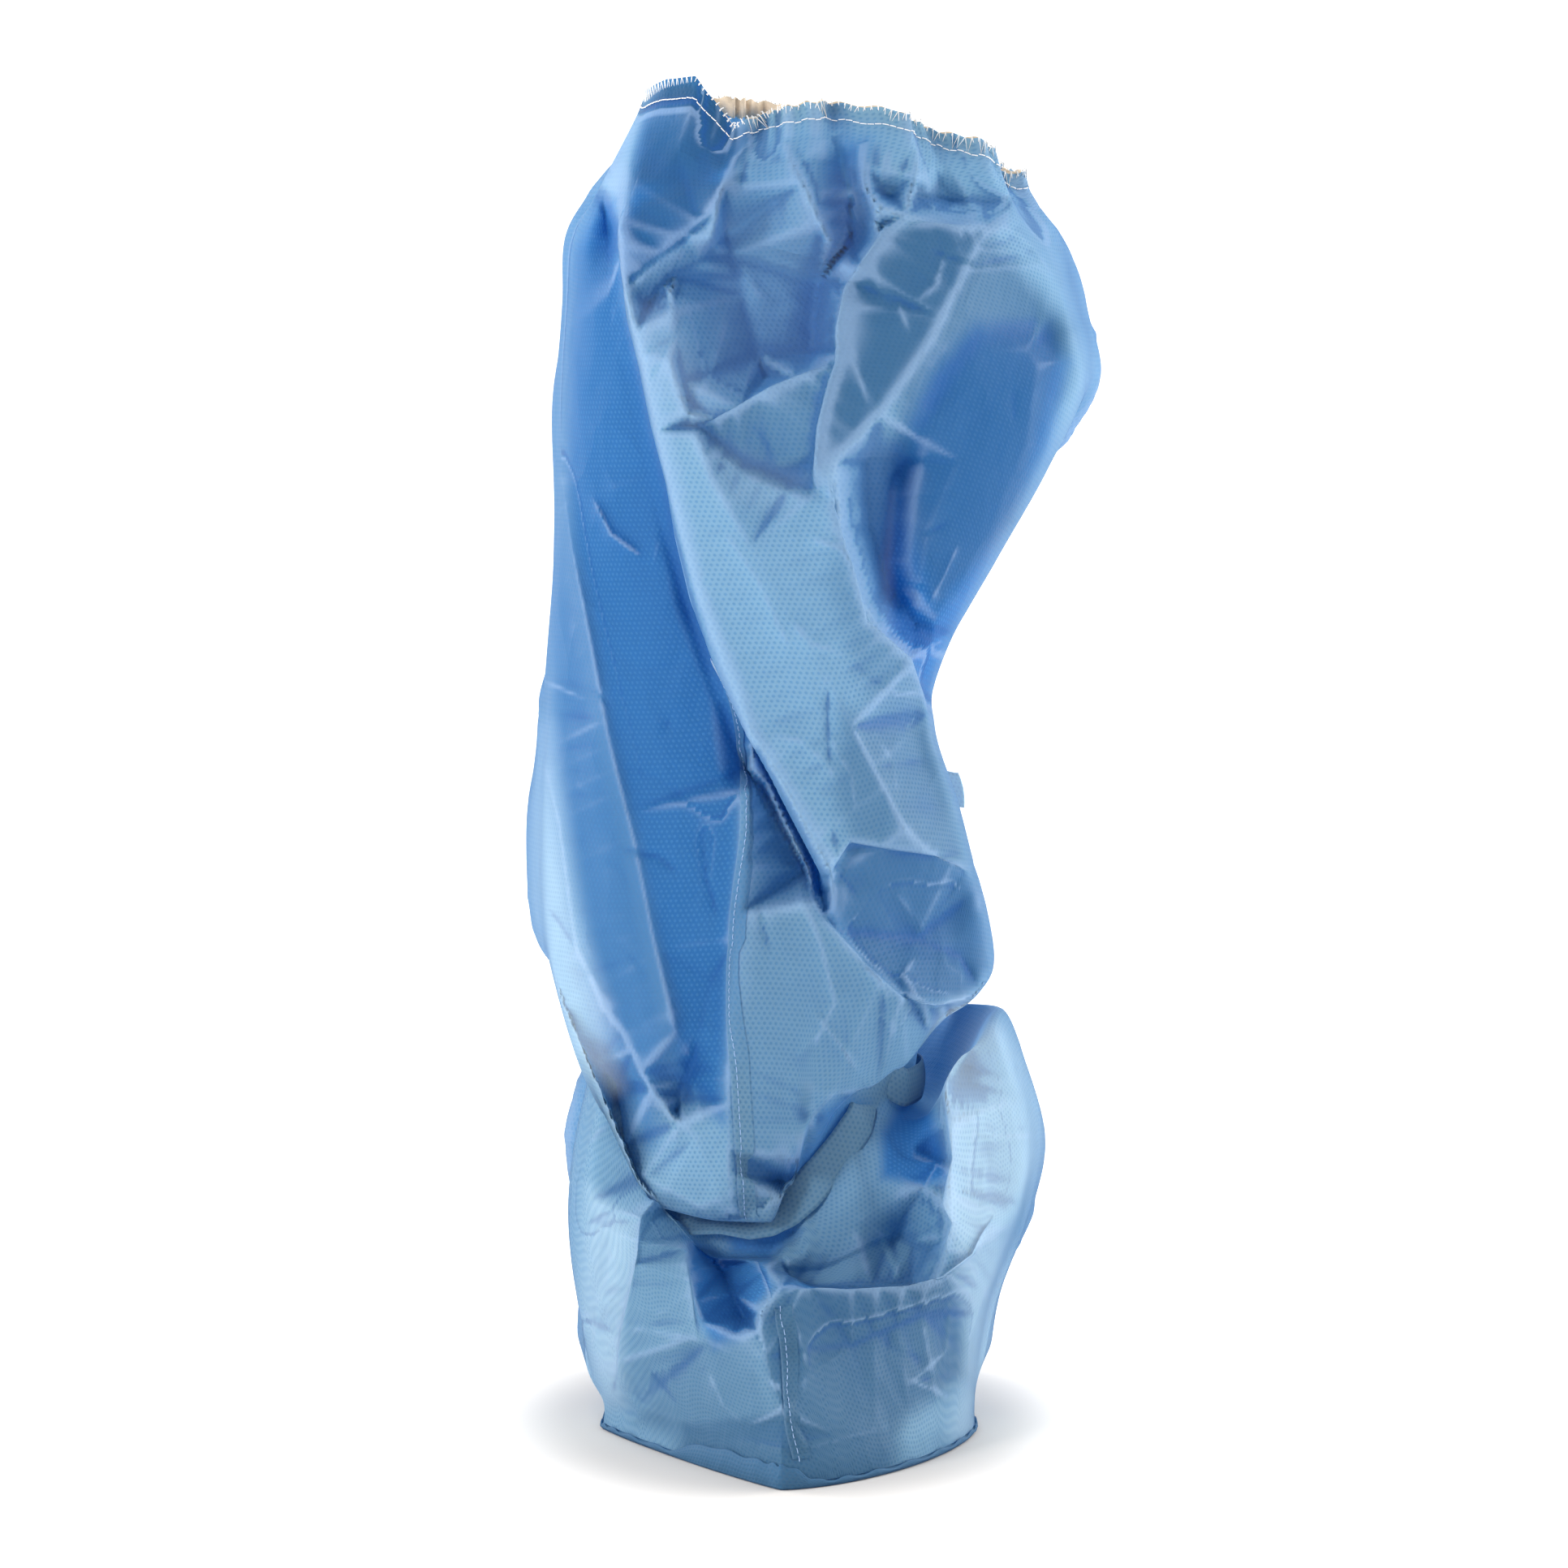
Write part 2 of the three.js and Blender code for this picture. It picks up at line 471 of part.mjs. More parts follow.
// A flat tail of tape along a curve over the panels, its width square to the curve and to the panels' own
// normal.
function tieTail(name) {
  const points = TAILS[name].map((row) => {
    const [t, angle] = [ringNumber(row.ring), degToRad(row.angle)];
    const base = surface(t, angle);
    const round = surface(t, angle + SMALL_STEP).sub(base);
    const down = surface(t + SMALL_STEP, angle).sub(base);
    return { normal: down.cross(round).normalize(), base, lift: row.lift };
  });
  const lifted = points.map((point) => point.base.clone().addScaledVector(point.normal, point.lift));
  const curve = new THREE.CatmullRomCurve3(lifted);
  const loops = Array.from({ length: TAIL_LENGTHS + 1 }, (_, i) => {
    const s = i / TAIL_LENGTHS;
    const near = Math.min(Math.floor(s * (points.length - 1)), points.length - 2);
    const normal = points[near].normal.clone().lerp(points[near + 1].normal, s * (points.length - 1) - near);
    const tangent = curve.getTangent(s);
    const across = tangent.clone().cross(normal).setLength(TIE.width / 2);
    const up = across.clone().cross(tangent).setLength(TIE.thickness / 2);
    const middle = curve.getPoint(s);
    const corner = (a, b) => middle.clone().addScaledVector(across, a).addScaledVector(up, b);
    return [corner(-1, -1), corner(1, -1), corner(1, 1), corner(-1, 1)];
  });
  return piece(name, skin(loops, false), TAPE_BLUE);
}

// A flat panel with its edge turned up round the foot, and turned up highest round the toe.
function solePanel() {
  const last = RINGS.length - 1;
  const corners = ANGLES.slice(0, -1).map((angle) => surface(last, turned(last, angle)));
  const loop = (offset, height) =>
    corners.map((corner, j) => {
      const round = corners[(j + 1) % corners.length].clone().sub(corners.at(j - 1));
      const outward = new THREE.Vector3(round.y, -round.x, 0).normalize();
      return corner.clone().addScaledVector(outward, offset).setZ(height(ANGLES[j]));
    });
  const edge = (angle) => lerp(SOLE.toeEdge, SOLE.edge, smooth(0, SOLE.toeArc, Math.abs(radToDeg(angle))));
  const [near, far] = [GAP, GAP + FABRIC];
  const loops = [loop(near, () => SOLE.thickness), loop(near, edge), loop(far, edge), loop(far, () => 0)];
  return piece("sole_panel", skin(loops, false), SOLE_BLUE);
}

const cover = new THREE.Group();
const outer = outerFace();
cover.add(sidePanel("side_panel_left", outer, 0, FRONT_COLUMN));
cover.add(sidePanel("side_panel_right", outer, FRONT_COLUMN, ANGLES.length - 1));
cover.add(solePanel(), elastic(outer), tieBand(), tieKnot(), ...Object.keys(TAILS).map(tieTail));

export default cover;
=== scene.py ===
# %% [markdown]
# # A knee-high boot cover
#
# A loose cover of thin blue non-woven fabric stands on its own sole with its toe towards the camera. Its
# leg is gathered at the top on an elastic, hangs in long drapes, and falls as a pouch over a tie round the
# ankle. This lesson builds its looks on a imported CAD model, which gives the frame: metres, +Z up, the toe
# to -Y.

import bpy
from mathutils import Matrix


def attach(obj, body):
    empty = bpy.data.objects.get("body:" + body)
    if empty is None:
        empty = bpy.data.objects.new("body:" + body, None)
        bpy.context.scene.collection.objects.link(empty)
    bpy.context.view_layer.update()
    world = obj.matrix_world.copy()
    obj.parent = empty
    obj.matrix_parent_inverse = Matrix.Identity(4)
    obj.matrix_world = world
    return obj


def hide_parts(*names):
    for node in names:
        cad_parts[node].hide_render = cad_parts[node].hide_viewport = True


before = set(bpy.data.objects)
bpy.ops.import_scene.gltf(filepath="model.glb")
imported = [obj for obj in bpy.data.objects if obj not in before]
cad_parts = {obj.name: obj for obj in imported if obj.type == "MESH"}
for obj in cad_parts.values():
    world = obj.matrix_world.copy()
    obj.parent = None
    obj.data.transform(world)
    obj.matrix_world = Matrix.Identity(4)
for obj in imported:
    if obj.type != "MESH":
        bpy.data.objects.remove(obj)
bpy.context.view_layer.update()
print("CAD nodes:", ", ".join(sorted(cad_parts)))

# %% Libraries
import math

import bmesh
import bpy
import numpy as np
from mathutils import Vector
from mathutils.geometry import delaunay_2d_cdt

MM = 0.001  # the tables below are in millimetres, and a mesh is in metres

# %% [markdown]
# ## The form of the cover
#
# Fabric like this can be simulated, but a simulation would crumple it in its own way. Here the real drapes
# are known, so the form is written down instead: a few rings down the cover say how wide and deep it is,
# and lists of fold lines say where it stands out or falls in. A smooth curve through the rings gives the
# surface at any ring number t and any angle round it, 0 being the front.

# %% Rings
RING_COLUMNS = "left right front back mid z_left z_right z_mid droop point_left point_right seam".split()
RING_ROWS = {
    "rim": (46, 76, 46, 42, 0, 446, 425, 447, -3, 2, 2, -48),
    "hem": (48, 79, 50, 45, 0, 439, 418, 440, -3, 2, 2, -49),
    "neck": (61, 86, 61, 55, 0, 416, 407, 421, 0, 2, 2, -52),
    "shoulder": (70, 93, 71, 65, 0, 400, 394, 401, 0, 2, 2, -50),
    "chest": (72, 98, 77, 72, 0, 378, 377, 378, 0, 2, 2, -44),
    "bulge": (74, 103, 78, 75, 0, 350, 352, 350, 0, 2, 2, -37),
    "hollow_top": (75, 90, 76, 76, 0, 321, 322, 321, 0, 2, 2, -30),
    "hollow_high": (77, 73, 74, 76, 0, 292, 292, 292, 0, 2, 2, -23),
    "hollow_mid": (79, 58, 73, 75, 0, 264, 265, 264, 0, 2, 2, -17),
    "hollow_low": (80, 52, 72, 74, 0, 238, 238, 238, 0, 2, 2, -12),
    "calf": (82, 61, 73, 73, 0, 209, 208, 209, 0, 2, 2, -10),
    "pouch_top": (82, 68, 75, 72, 0, 180, 180, 181, -2, 2, 2, -12),
    "pouch": (79, 72, 78, 70, 0, 160, 157, 159, -14, 2, 2, -13),
    "pouch_low": (70, 68, 78, 66, 0, 148, 147, 149, -42, 2, 2, -13),
    "pouch_brim": (57, 58, 71, 58, 0, 139, 140, 140, -62, 2, 2, -14),
    "tuck": (49, 50, 63, 53, 0, 128, 131, 132, -52, 2, 2, -13),
    "tie_top": (44, 46, 58, 49, 0, 119, 124, 123, -42, 2, 2, -12),
    "tie_low": (44, 46, 58, 49, 0, 103, 108, 107, -42, 2, 2, -11),
    "rise": (53, 57, 68, 63, 0, 106, 111, 110, -46, 2, 2, -10),
    "instep": (61, 72, 76, 76, 0, 130, 139, 128, -64, 1.8, 1.9, -9),
    "upper": (68, 82, 87, 86, -2, 109, 119, 110, -47, 1.6, 1.8, -9),
    "wide": (72, 86, 101, 96, -6, 87, 94, 86, -24, 1.5, 1.75, -8),
    "middle": (73, 81, 113, 103, -10, 66, 68, 62, -7, 1.35, 1.7, -6),
    "low": (70, 71, 124, 107, -16, 42, 42, 39, 0, 1.25, 1.6, -2),
    "lower": (65, 66, 133, 108, -22, 19, 19, 19, 0, 1.15, 1.55, 3),
    "sole_edge": (60, 65, 138, 107, -28, 9, 9, 9, 0, 1.1, 1.55, 6),
    "sole": (60, 65, 138, 107, -28, 1.9, 1.9, 1.9, 0, 1.1, 1.55, 6),
}
NAMES = list(RING_ROWS)
RINGS = dict(zip(RING_COLUMNS, np.array(list(RING_ROWS.values()), float).T))
TIE_TOP, TIE_LOW, LAST = NAMES.index("tie_top"), NAMES.index("tie_low"), len(NAMES) - 1
print(len(NAMES), "rings, from", NAMES[0], "to", NAMES[-1])

# %% How far the front hangs below the sides, at each angle
DROOP_COLUMNS = "angle pouch tie foot".split()
DROOP_ROWS = [
    (-180, 0, 0, 0),
    (-90, 0, 0, 0),
    (-72, 0.68, 0.25, 0.15),
    (-48, 0.97, 0.7, 0.75),
    (-22, 1, 1, 1),
    (-4, 1, 1, 1),
    (3, 0.8, 0.85, 1),
    (10, 0.46, 0.66, 1),
    (30, 0.30, 0.14, 0.92),
    (44, 0.22, 0.02, 0.6),
    (60, 0.05, 0, 0.12),
    (90, 0, 0, 0),
    (180, 0, 0, 0),
]
DROOP = dict(zip(DROOP_COLUMNS, np.array(DROOP_ROWS, float).T))

# %% Small helpers
def smooth(low, high, value):
    s = np.clip((np.asarray(value, float) - low) / (high - low), 0, 1)
    return s * s * (3 - 2 * s)


def lerp(a, b, share):
    return a + (b - a) * share


def unit(vectors):
    return vectors / np.maximum(np.linalg.norm(vectors, axis=-1, keepdims=True), 1e-9)


def along(column, t):
    """Catmull-Rom down a column of the rings."""
    values, t = RINGS[column], np.asarray(t, float)
    i = np.minimum(np.floor(t).astype(int), LAST - 1)
    a, b, c, d = (values[np.clip(i + k, 0, LAST)] for k in (-1, 0, 1, 2))
    s = t - i
    return b + 0.5 * s * (c - a + s * (2 * a - 5 * b + 4 * c - d + s * (3 * (b - c) + d - a)))


def droop_share(t, angle):
    degrees = np.degrees(angle)
    i = np.clip(np.searchsorted(DROOP["angle"], degrees), 1, len(DROOP_ROWS) - 1)
    s = smooth(DROOP["angle"][i - 1], DROOP["angle"][i], degrees)
    share = {k: lerp(DROOP[k][i - 1], DROOP[k][i], s) for k in ("pouch", "tie", "foot")}
    below = lerp(share["pouch"], share["tie"], smooth(NAMES.index("pouch_brim"), TIE_TOP, t))
    return lerp(below, share["foot"], smooth(TIE_LOW, NAMES.index("instep"), t))


def rest_form(t, angle):
    """The form without folds, in mm."""
    sine, cosine = np.sin(angle), np.cos(angle)
    right = sine > 0
    point = np.where(right, along("point_right", t), along("point_left", t))
    power = np.where(cosine > 0, 2 / point, 1)
    wide, deep = np.abs(sine) ** power, np.abs(cosine) ** power
    mid = along("mid", t)
    x = np.where(right, along("right", t), -along("left", t)) * wide
    y = np.where(cosine > 0, mid - (along("front", t) + mid) * deep, mid + (along("back", t) - mid) * deep)
    side = np.where(right, along("z_right", t), along("z_left", t))
    z = lerp(along("z_mid", t), side, sine * sine) + along("droop", t) * droop_share(t, angle)
    return np.stack([x, y, z], axis=-1)


# %% [markdown]
# ## Folds
#
# Folds in front are drawn on an upright pane through the middle of the cover, as the camera sees them: each
# point is (right, up) in mm, with up measured from the drawn tip of the toe. A fold pushes the fabric
# straight towards the eye or away from it, so that what is drawn stays where it is drawn. Every spot takes
# the mean of the fold lines round it, weighed by how near they are, as fabric does that is stretched
# between ridges.

# %% The eye and the pane
EYE = np.array([0, -2500, 450])
DRAWN_TOE = -27  # how far below the floor the drawn tip of the toe is
FRONT_FADE, ROUND_FADE = (72, 100), (80, 112)  # degrees from the front
REACH, REST_PULL, FLOOR_FADE = 46, 0.0003, (9, 26)
STRENGTH, ROUND, POWER = 1.45, 0.4, 1.35
ROUND_RADIUS = 75  # at which a degree round the sides and the back is measured in mm


def drawn(points):
    scale = EYE[1] / (EYE[1] - points[..., 1])
    up = EYE[2] + (points[..., 2] - EYE[2]) * scale - DRAWN_TOE
    return np.stack([points[..., 0] * scale, up], axis=-1)


# %% Fold lines of the leg: how far out, how soft, and the line
LEG_FOLDS = {
    "sash_edge": (9, 2, [(-44, 471), (-51, 452), (-53, 440), (-50, 410), (-45, 388), (-38, 354), (-27, 310),
                         (-18, 284), (-9, 262), (5, 238), (18, 212)]),
    "under_sash": (-15, 2, [(-60, 440), (-59, 400), (-51, 364), (-43, 330), (-34, 300), (-26, 276),
                            (-17, 254), (-5, 232), (6, 212)]),
    "left_crease": (5, 3, [(-75, 344), (-66, 298), (-56, 248), (-47, 210), (-38, 170), (-36, 158)]),
    "left_edge_crease": (4, 4, [(-80, 254), (-73, 214), (-69, 184), (-60, 166)]),
    "sash_middle": (11, 8, [(-36, 385), (-22, 345), (2, 300), (24, 262), (42, 228)]),
    "sash_right_edge": (10, 2, [(19, 351), (22, 330), (30, 303), (36, 294), (45, 286)]),
    "behind_sash": (-12, 4, [(29, 352), (31, 330), (37, 310), (46, 298)]),
    "sash_tip": (6, 2, [(17, 208), (34, 222), (52, 218), (69, 209)]),
    "sash_slit": (-18, 3, [(-8, 252), (6, 224), (13, 205)]),
    "slit_edge": (2, 2, [(-10, 250), (4, 218), (12, 203), (24, 188), (34, 178)]),
    "front_seam": (4, 3, [(-12, 262), (-12, 232), (-15, 190), (-18, 150), (-18, 110), (-16, 95)]),
    "dark_facet": (-9, 6, [(46, 190), (60, 184)]),
    "facet_foot": (4, 3, [(34, 178), (48, 167), (62, 169)]),
    "lower_left_facet": (3, 3, [(-54, 158), (-44, 138), (-24, 116), (-22, 100)]),
    "lower_left_hollow": (-6, 5, [(-36, 130), (-30, 148), (-24, 176)]),
    "flap_edge": (6, 2, [(-51, 408), (-44, 416), (-33, 427), (-22, 437)]),
    "under_flap": (-5, 3, [(-44, 404), (-34, 414), (-22, 424)]),
    "bowl_left": (5, 2, [(-37, 410), (-34, 386), (-29, 364)]),
    "bowl": (-15, 6, [(-18, 428), (-12, 400), (-6, 382)]),
    "bowl_brim": (6, 2, [(-29, 364), (-8, 375), (10, 385), (19, 389)]),
    "chest_facet": (2, 5, [(-29, 364), (-12, 352), (11, 342)]),
    "petal_left_edge": (11, 2, [(33, 437), (32, 428), (22, 412), (20, 404), (19, 388), (15, 366),
                                (11, 342)]),
    "under_petal": (-20, 3, [(24, 440), (22, 426), (12, 412), (10, 398), (10, 390)]),
    "petal_top": (9, 2, [(33, 434), (50, 434), (70, 430)]),
    "above_petal": (-8, 3, [(36, 441), (52, 441), (68, 439)]),
    "petal_fold": (8, 2, [(70, 430), (62, 416), (50, 392), (38, 374), (28, 360), (19, 351)]),
    "right_hollow": (-8, 6, [(84, 390), (66, 366), (50, 330), (46, 306)]),
    "right_edge": (3, 3, [(70, 430), (86, 417), (97, 406), (101, 395)]),
    "left_pleat": (5, 2, [(-6, 465), (-15, 456), (-21, 438), (-23, 427)]),
    "middle_pleat": (4, 2, [(-2, 464), (7, 445), (22, 412)]),
    "right_pleat": (4, 2, [(27, 464), (29, 443), (33, 430)]),
    "far_pleat": (4, 2, [(47, 461), (42, 440)]),
    "pleat_recess": (-10, 2, [(18, 460), (23, 444), (28, 434)]),
    "arch": (2, 3, [(7, 113), (11, 129), (17, 136), (28, 138), (37, 134)]),
    "arch_hollow": (-12, 4, [(2, 106), (14, 118), (26, 128)]),
}

# %% Fold lines of the foot
FOOT_FOLDS = {
    "left_lobe_edge": (6, 2, [(-39, 106), (-47, 94), (-50, 78), (-55, 50), (-57, 24)]),
    "left_lobe": (0, 6, [(-62, 130), (-66, 100), (-66, 60)]),
    "pit_left": (2, 2, [(-31, 84), (-28, 66), (-24, 52)]),
    "pit": (-18, 4, [(-30, 98), (-20, 76), (-12, 60)]),
    "pit_foot": (3, 3, [(-24, 52), (-16, 54), (-8, 54)]),
    "toe_seam": (5, 2, [(-8, 55), (-3, 38), (1, 27), (8, 13)]),
    "toe_brim": (8, 2, [(-7, 62), (0, 70), (24, 70), (50, 71), (64, 79), (80, 93)]),
    "under_spike": (-13, 3, [(4, 74), (24, 73), (44, 74)]),
    "spike": (4, 2, [(-4, 77), (10, 92), (20, 100)]),
    "right_shelf": (2, 3, [(30, 104), (34, 110), (55, 104)]),
    "right_hollow": (-14, 4, [(40, 128), (46, 118)]),
    "shelf_hollow": (-10, 4, [(38, 90), (50, 84)]),
    "right_lobe_edge": (6, 2, [(52, 152), (58, 128), (58, 104), (54, 82)]),
    "toe_face": (-4, 8, [(24, 50), (48, 60)]),
}

# %% Fold lines round the sides and the back, as (degrees from the front, height)
LEG_ROUND_FOLDS = {
    "back_seam": (3, 3, [(180, 440), (182, 340), (179, 240), (180, 150)]),
    "right_drape": (7, 3, [(78, 395), (100, 350), (130, 300), (165, 245), (190, 200), (215, 165)]),
    "under_right_drape": (-10, 4, [(95, 335), (125, 285), (160, 230), (185, 190)]),
    "back_drape": (6, 3, [(150, 410), (180, 350), (210, 300), (240, 240), (262, 190)]),
    "under_back_drape": (-9, 4, [(160, 375), (185, 320), (215, 270), (238, 215)]),
    "left_drape": (5, 3, [(225, 415), (250, 360), (275, 310), (290, 262)]),
    "under_left_drape": (-7, 4, [(228, 385), (250, 330), (268, 285)]),
    "right_low_hollow": (-7, 5, [(95, 230), (120, 200), (140, 180)]),
}
FOOT_ROUND_FOLDS = {
    "heel_seam": (4, 3, [(180, 126), (180, 16)]),
    "right_fold": (6, 3, [(75, 130), (95, 95), (110, 60), (112, 24)]),
    "right_dent": (-9, 5, [(108, 112), (124, 80), (126, 50)]),
    "heel_fold_right": (5, 3, [(140, 124), (150, 84), (140, 44)]),
    "heel_dent_right": (-8, 5, [(163, 108), (166, 70)]),
    "heel_fold_left": (6, 3, [(205, 122), (214, 84), (204, 40)]),
    "heel_dent_left": (-8, 5, [(192, 100), (190, 60)]),
    "left_fold": (6, 3, [(240, 128), (250, 92), (236, 50), (240, 22)]),
    "left_dent": (-8, 5, [(226, 110), (228, 76)]),
    "left_front_dent": (-5, 5, [(262, 100), (258, 60)]),
}

# %% [markdown]
# ## Edges that lie over the fabric beside them
#
# Where a drape folds over its neighbour, two things happen at once along the line of the edge. The fabric
# on one side stands higher, and it also slides a little across the line, over the lower side. Adding both
# with the same soft step makes a true rolled fold, with a shadow under it. The raised side is on the left
# of someone who walks along the line.

# %% Edges of the leg and the foot: how high, how far over, how wide, and the line
LEG_EDGES = {
    "sash": (5, 2.8, 14, [(-55, 440), (-55, 424), (-52, 399), (-48, 383), (-44, 363), (-39, 344),
                          (-36, 326), (-31, 305), (-23, 283), (-18, 272), (-12, 259), (-4, 245), (3, 231),
                          (10, 217), (15, 205)]),
    "petal": (4, 2, 12, [(36, 434), (34, 429), (27, 419), (21, 410), (18, 396), (18, 385), (12, 363),
                         (11, 352), (10, 338)]),
    "sash_right": (5, 3, 12, [(52, 262), (47, 276), (44, 285), (35, 293), (29, 298), (25, 314), (21, 326),
                              (18, 336), (18, 349)]),
    "sash_foot": (3, 2, 10, [(15, 205), (18, 213), (24, 223), (38, 220), (52, 218), (63, 213), (68, 208)]),
    "bowl_brim": (4, 2.5, 10, [(18, 387), (10, 383), (-4, 377), (-17, 369), (-30, 362)]),
    "petal_top": (3, 2, 8, [(68, 430), (60, 431), (49, 432), (38, 431)]),
    "facet_foot": (2.5, 1.5, 8, [(64, 168), (52, 167), (41, 170), (29, 181), (21, 190), (10, 202)]),
}
FOOT_EDGES = {
    "toe_brim": (5, 3, 12, [(74, 99), (65, 82), (54, 74), (43, 71), (10, 69), (-1, 70)]),
    "spike": (3, 2, 8, [(24, 71), (10, 73), (-6, 77)]),
    "pocket": (3, 2, 8, [(54, 103), (47, 105), (34, 108), (32, 118), (33, 125)]),
    "right_lobe": (3, 2, 10, [(52, 154), (54, 143), (58, 115), (54, 99), (57, 93), (53, 81)]),
    "left_lobe": (2.5, 1.5, 10, [(-57, 30), (-55, 55), (-49, 82), (-48, 95), (-41, 105)]),
    "pit": (2.5, 1.5, 8, [(-28, 48), (-30, 66), (-33, 88)]),
}

# %% Fine creases: how high, how wide, and the line
LEG_CREASES = {
    "left_long": (1.6, 4, [(-75, 352), (-71, 322), (-66, 297), (-59, 259), (-50, 223), (-44, 192),
                           (-36, 157)]),
    "left_edge": (1.4, 4, [(-81, 253), (-75, 228), (-72, 201), (-70, 187), (-65, 179), (-58, 163)]),
    "left_short": (-1.2, 3, [(-81, 203), (-75, 195), (-69, 185)]),
    "right_strip": (-1.6, 4, [(37, 355), (36, 341), (35, 316), (34, 294)]),
    "facet_right": (1.5, 4, [(-12, 242), (-5, 231), (3, 221), (6, 206), (13, 187), (18, 168), (10, 151)]),
    "hood": (-2.5, 3, [(-20, 436), (-31, 427), (-39, 421), (-48, 413), (-52, 406)]),
    "bowl_low": (1.5, 4, [(-30, 362), (-23, 355), (-12, 347), (-1, 342), (10, 338)]),
    "shoulder": (1.5, 3, [(69, 434), (76, 429), (84, 424), (93, 411)]),
    "pleat_1": (4, 4, [(-2, 464), (7, 445), (22, 411)]),
    "pleat_2": (4, 4, [(-6, 465), (-15, 456), (-21, 438), (-23, 427)]),
    "pleat_3": (3, 3, [(14, 465), (14, 454), (10, 449)]),
    "pleat_4": (4, 3, [(27, 464), (29, 443), (33, 430)]),
    "pleat_5": (3.5, 3, [(36, 461), (34, 451), (32, 438)]),
    "pleat_6": (3.5, 3, [(47, 461), (42, 440)]),
    "pleat_7": (2.5, 2, [(49, 451), (48, 439)]),
    "pleat_8": (3, 3, [(56, 457), (63, 440), (68, 433)]),
    "between_1": (-2.5, 3, [(2, 462), (10, 446), (14, 432)]),
    "between_2": (-2, 3, [(20, 462), (22, 448), (26, 434)]),
    "between_3": (-1.8, 2, [(32, 462), (32, 448), (36, 438)]),
    "between_4": (-3, 2, [(42, 460), (38, 444)]),
    "between_5": (-3, 3, [(53, 456), (55, 444), (60, 437)]),
    "between_6": (-3, 3, [(-11, 466), (-12, 452), (-14, 440)]),
    "pouch_strip": (1.4, 3, [(-55, 148), (-56, 137), (-53, 118), (-51, 112), (-41, 105), (-31, 100),
                             (-19, 92)]),
    "crumple_1": (1.2, 2, [(26, 181), (33, 175), (36, 166)]),
    "crumple_2": (-1.2, 2, [(33, 181), (40, 176), (44, 169)]),
    "crumple_3": (1.2, 2, [(47, 186), (42, 178), (46, 171), (56, 164)]),
    "sash_1": (0.9, 3, [(-4, 260), (6, 258), (16, 250), (20, 240)]),
    "sash_2": (0.9, 3, [(2, 300), (10, 290), (24, 284)]),
    "sash_3": (0.8, 3, [(-20, 330), (-8, 312), (4, 286)]),
    "sash_4": (0.9, 3, [(14, 262), (24, 246), (26, 232)]),
    "sash_5": (0.8, 3, [(30, 262), (38, 250), (40, 236)]),
    "petal_1": (0.8, 3, [(56, 424), (52, 410), (44, 404)]),
    "petal_2": (0.7, 3, [(30, 412), (40, 404), (44, 392)]),
    "chest_1": (0.9, 3, [(-28, 372), (-20, 392), (-18, 404)]),
    "bowl_1": (0.9, 3, [(-14, 420), (-8, 408), (-2, 404)]),
    "lower_1": (0.9, 3, [(-38, 150), (-30, 140), (-26, 124)]),
    "lower_2": (0.8, 3, [(-46, 136), (-38, 128), (-34, 116)]),
}
FOOT_CREASES = {
    "toe_right_1": (1.5, 4, [(58, 66), (56, 48), (45, 38), (56, 33), (53, 26)]),
    "toe_right_2": (1.5, 4, [(72, 74), (64, 52), (64, 35)]),
    "toe_low": (1.5, 3, [(7, 11), (24, 19), (39, 22)]),
    "left_low": (1.4, 3, [(-57, 44), (-45, 48), (-30, 53)]),
    "seam_flap": (1.5, 2, [(-1, 68), (-6, 64), (-8, 55)]),
    "seam_flap_right": (1.2, 3, [(-1, 68), (6, 53), (9, 40)]),
    "bulge_1": (-1, 2, [(76, 146), (84, 146)]),
    "bulge_2": (-1, 2, [(78, 125), (85, 125)]),
    "bulge_3": (1, 3, [(74, 93), (69, 104), (70, 116)]),
    "left_1": (1, 3, [(-68, 116), (-62, 124), (-56, 128)]),
    "left_2": (-1, 3, [(-70, 90), (-60, 96), (-52, 100)]),
    "left_3": (1, 3, [(-66, 60), (-60, 74), (-58, 90)]),
    "left_4": (-1, 3, [(-62, 40), (-50, 34), (-40, 24)]),
    "middle_1": (1.2, 3, [(12, 96), (22, 92), (30, 82)]),
    "middle_2": (-1, 3, [(14, 104), (20, 112), (28, 116)]),
    "middle_3": (1, 3, [(-26, 44), (-20, 30), (-10, 20)]),
}
print(len(LEG_FOLDS) + len(FOOT_FOLDS), "folds,", len(LEG_EDGES) + len(FOOT_EDGES), "edges,",
      len(LEG_CREASES) + len(FOOT_CREASES), "creases in front")


# %% Distance to a line
def to_line(at, line, across=1.0):
    """For points (n, 2): distance to the line, unit step away from it, +1 on its left, run to each end."""
    line = np.array(line, float)
    best = np.full(len(at), np.inf)
    away, side, place, start = np.zeros((len(at), 2)), np.ones(len(at)), np.zeros(len(at)), 0.0
    for a, b in zip(line[:-1], line[1:]):
        step, offset = (b - a) * (across, 1), (at - a) * (across, 1)
        length = math.hypot(*step)
        s = np.clip(offset @ step / length**2, 0, 1)
        rest = offset - s[:, None] * step
        distance = np.hypot(rest[:, 0], rest[:, 1])
        nearer = distance < best
        best[nearer], away[nearer] = distance[nearer], rest[nearer]
        side[nearer] = np.where(step[0] * rest[nearer, 1] - step[1] * rest[nearer, 0] >= 0, 1, -1)
        place[nearer] = start + s[nearer] * length
        start += length
    return best, away / np.maximum(best, 1e-6)[:, None], side, np.stack([place, start - place], axis=-1)


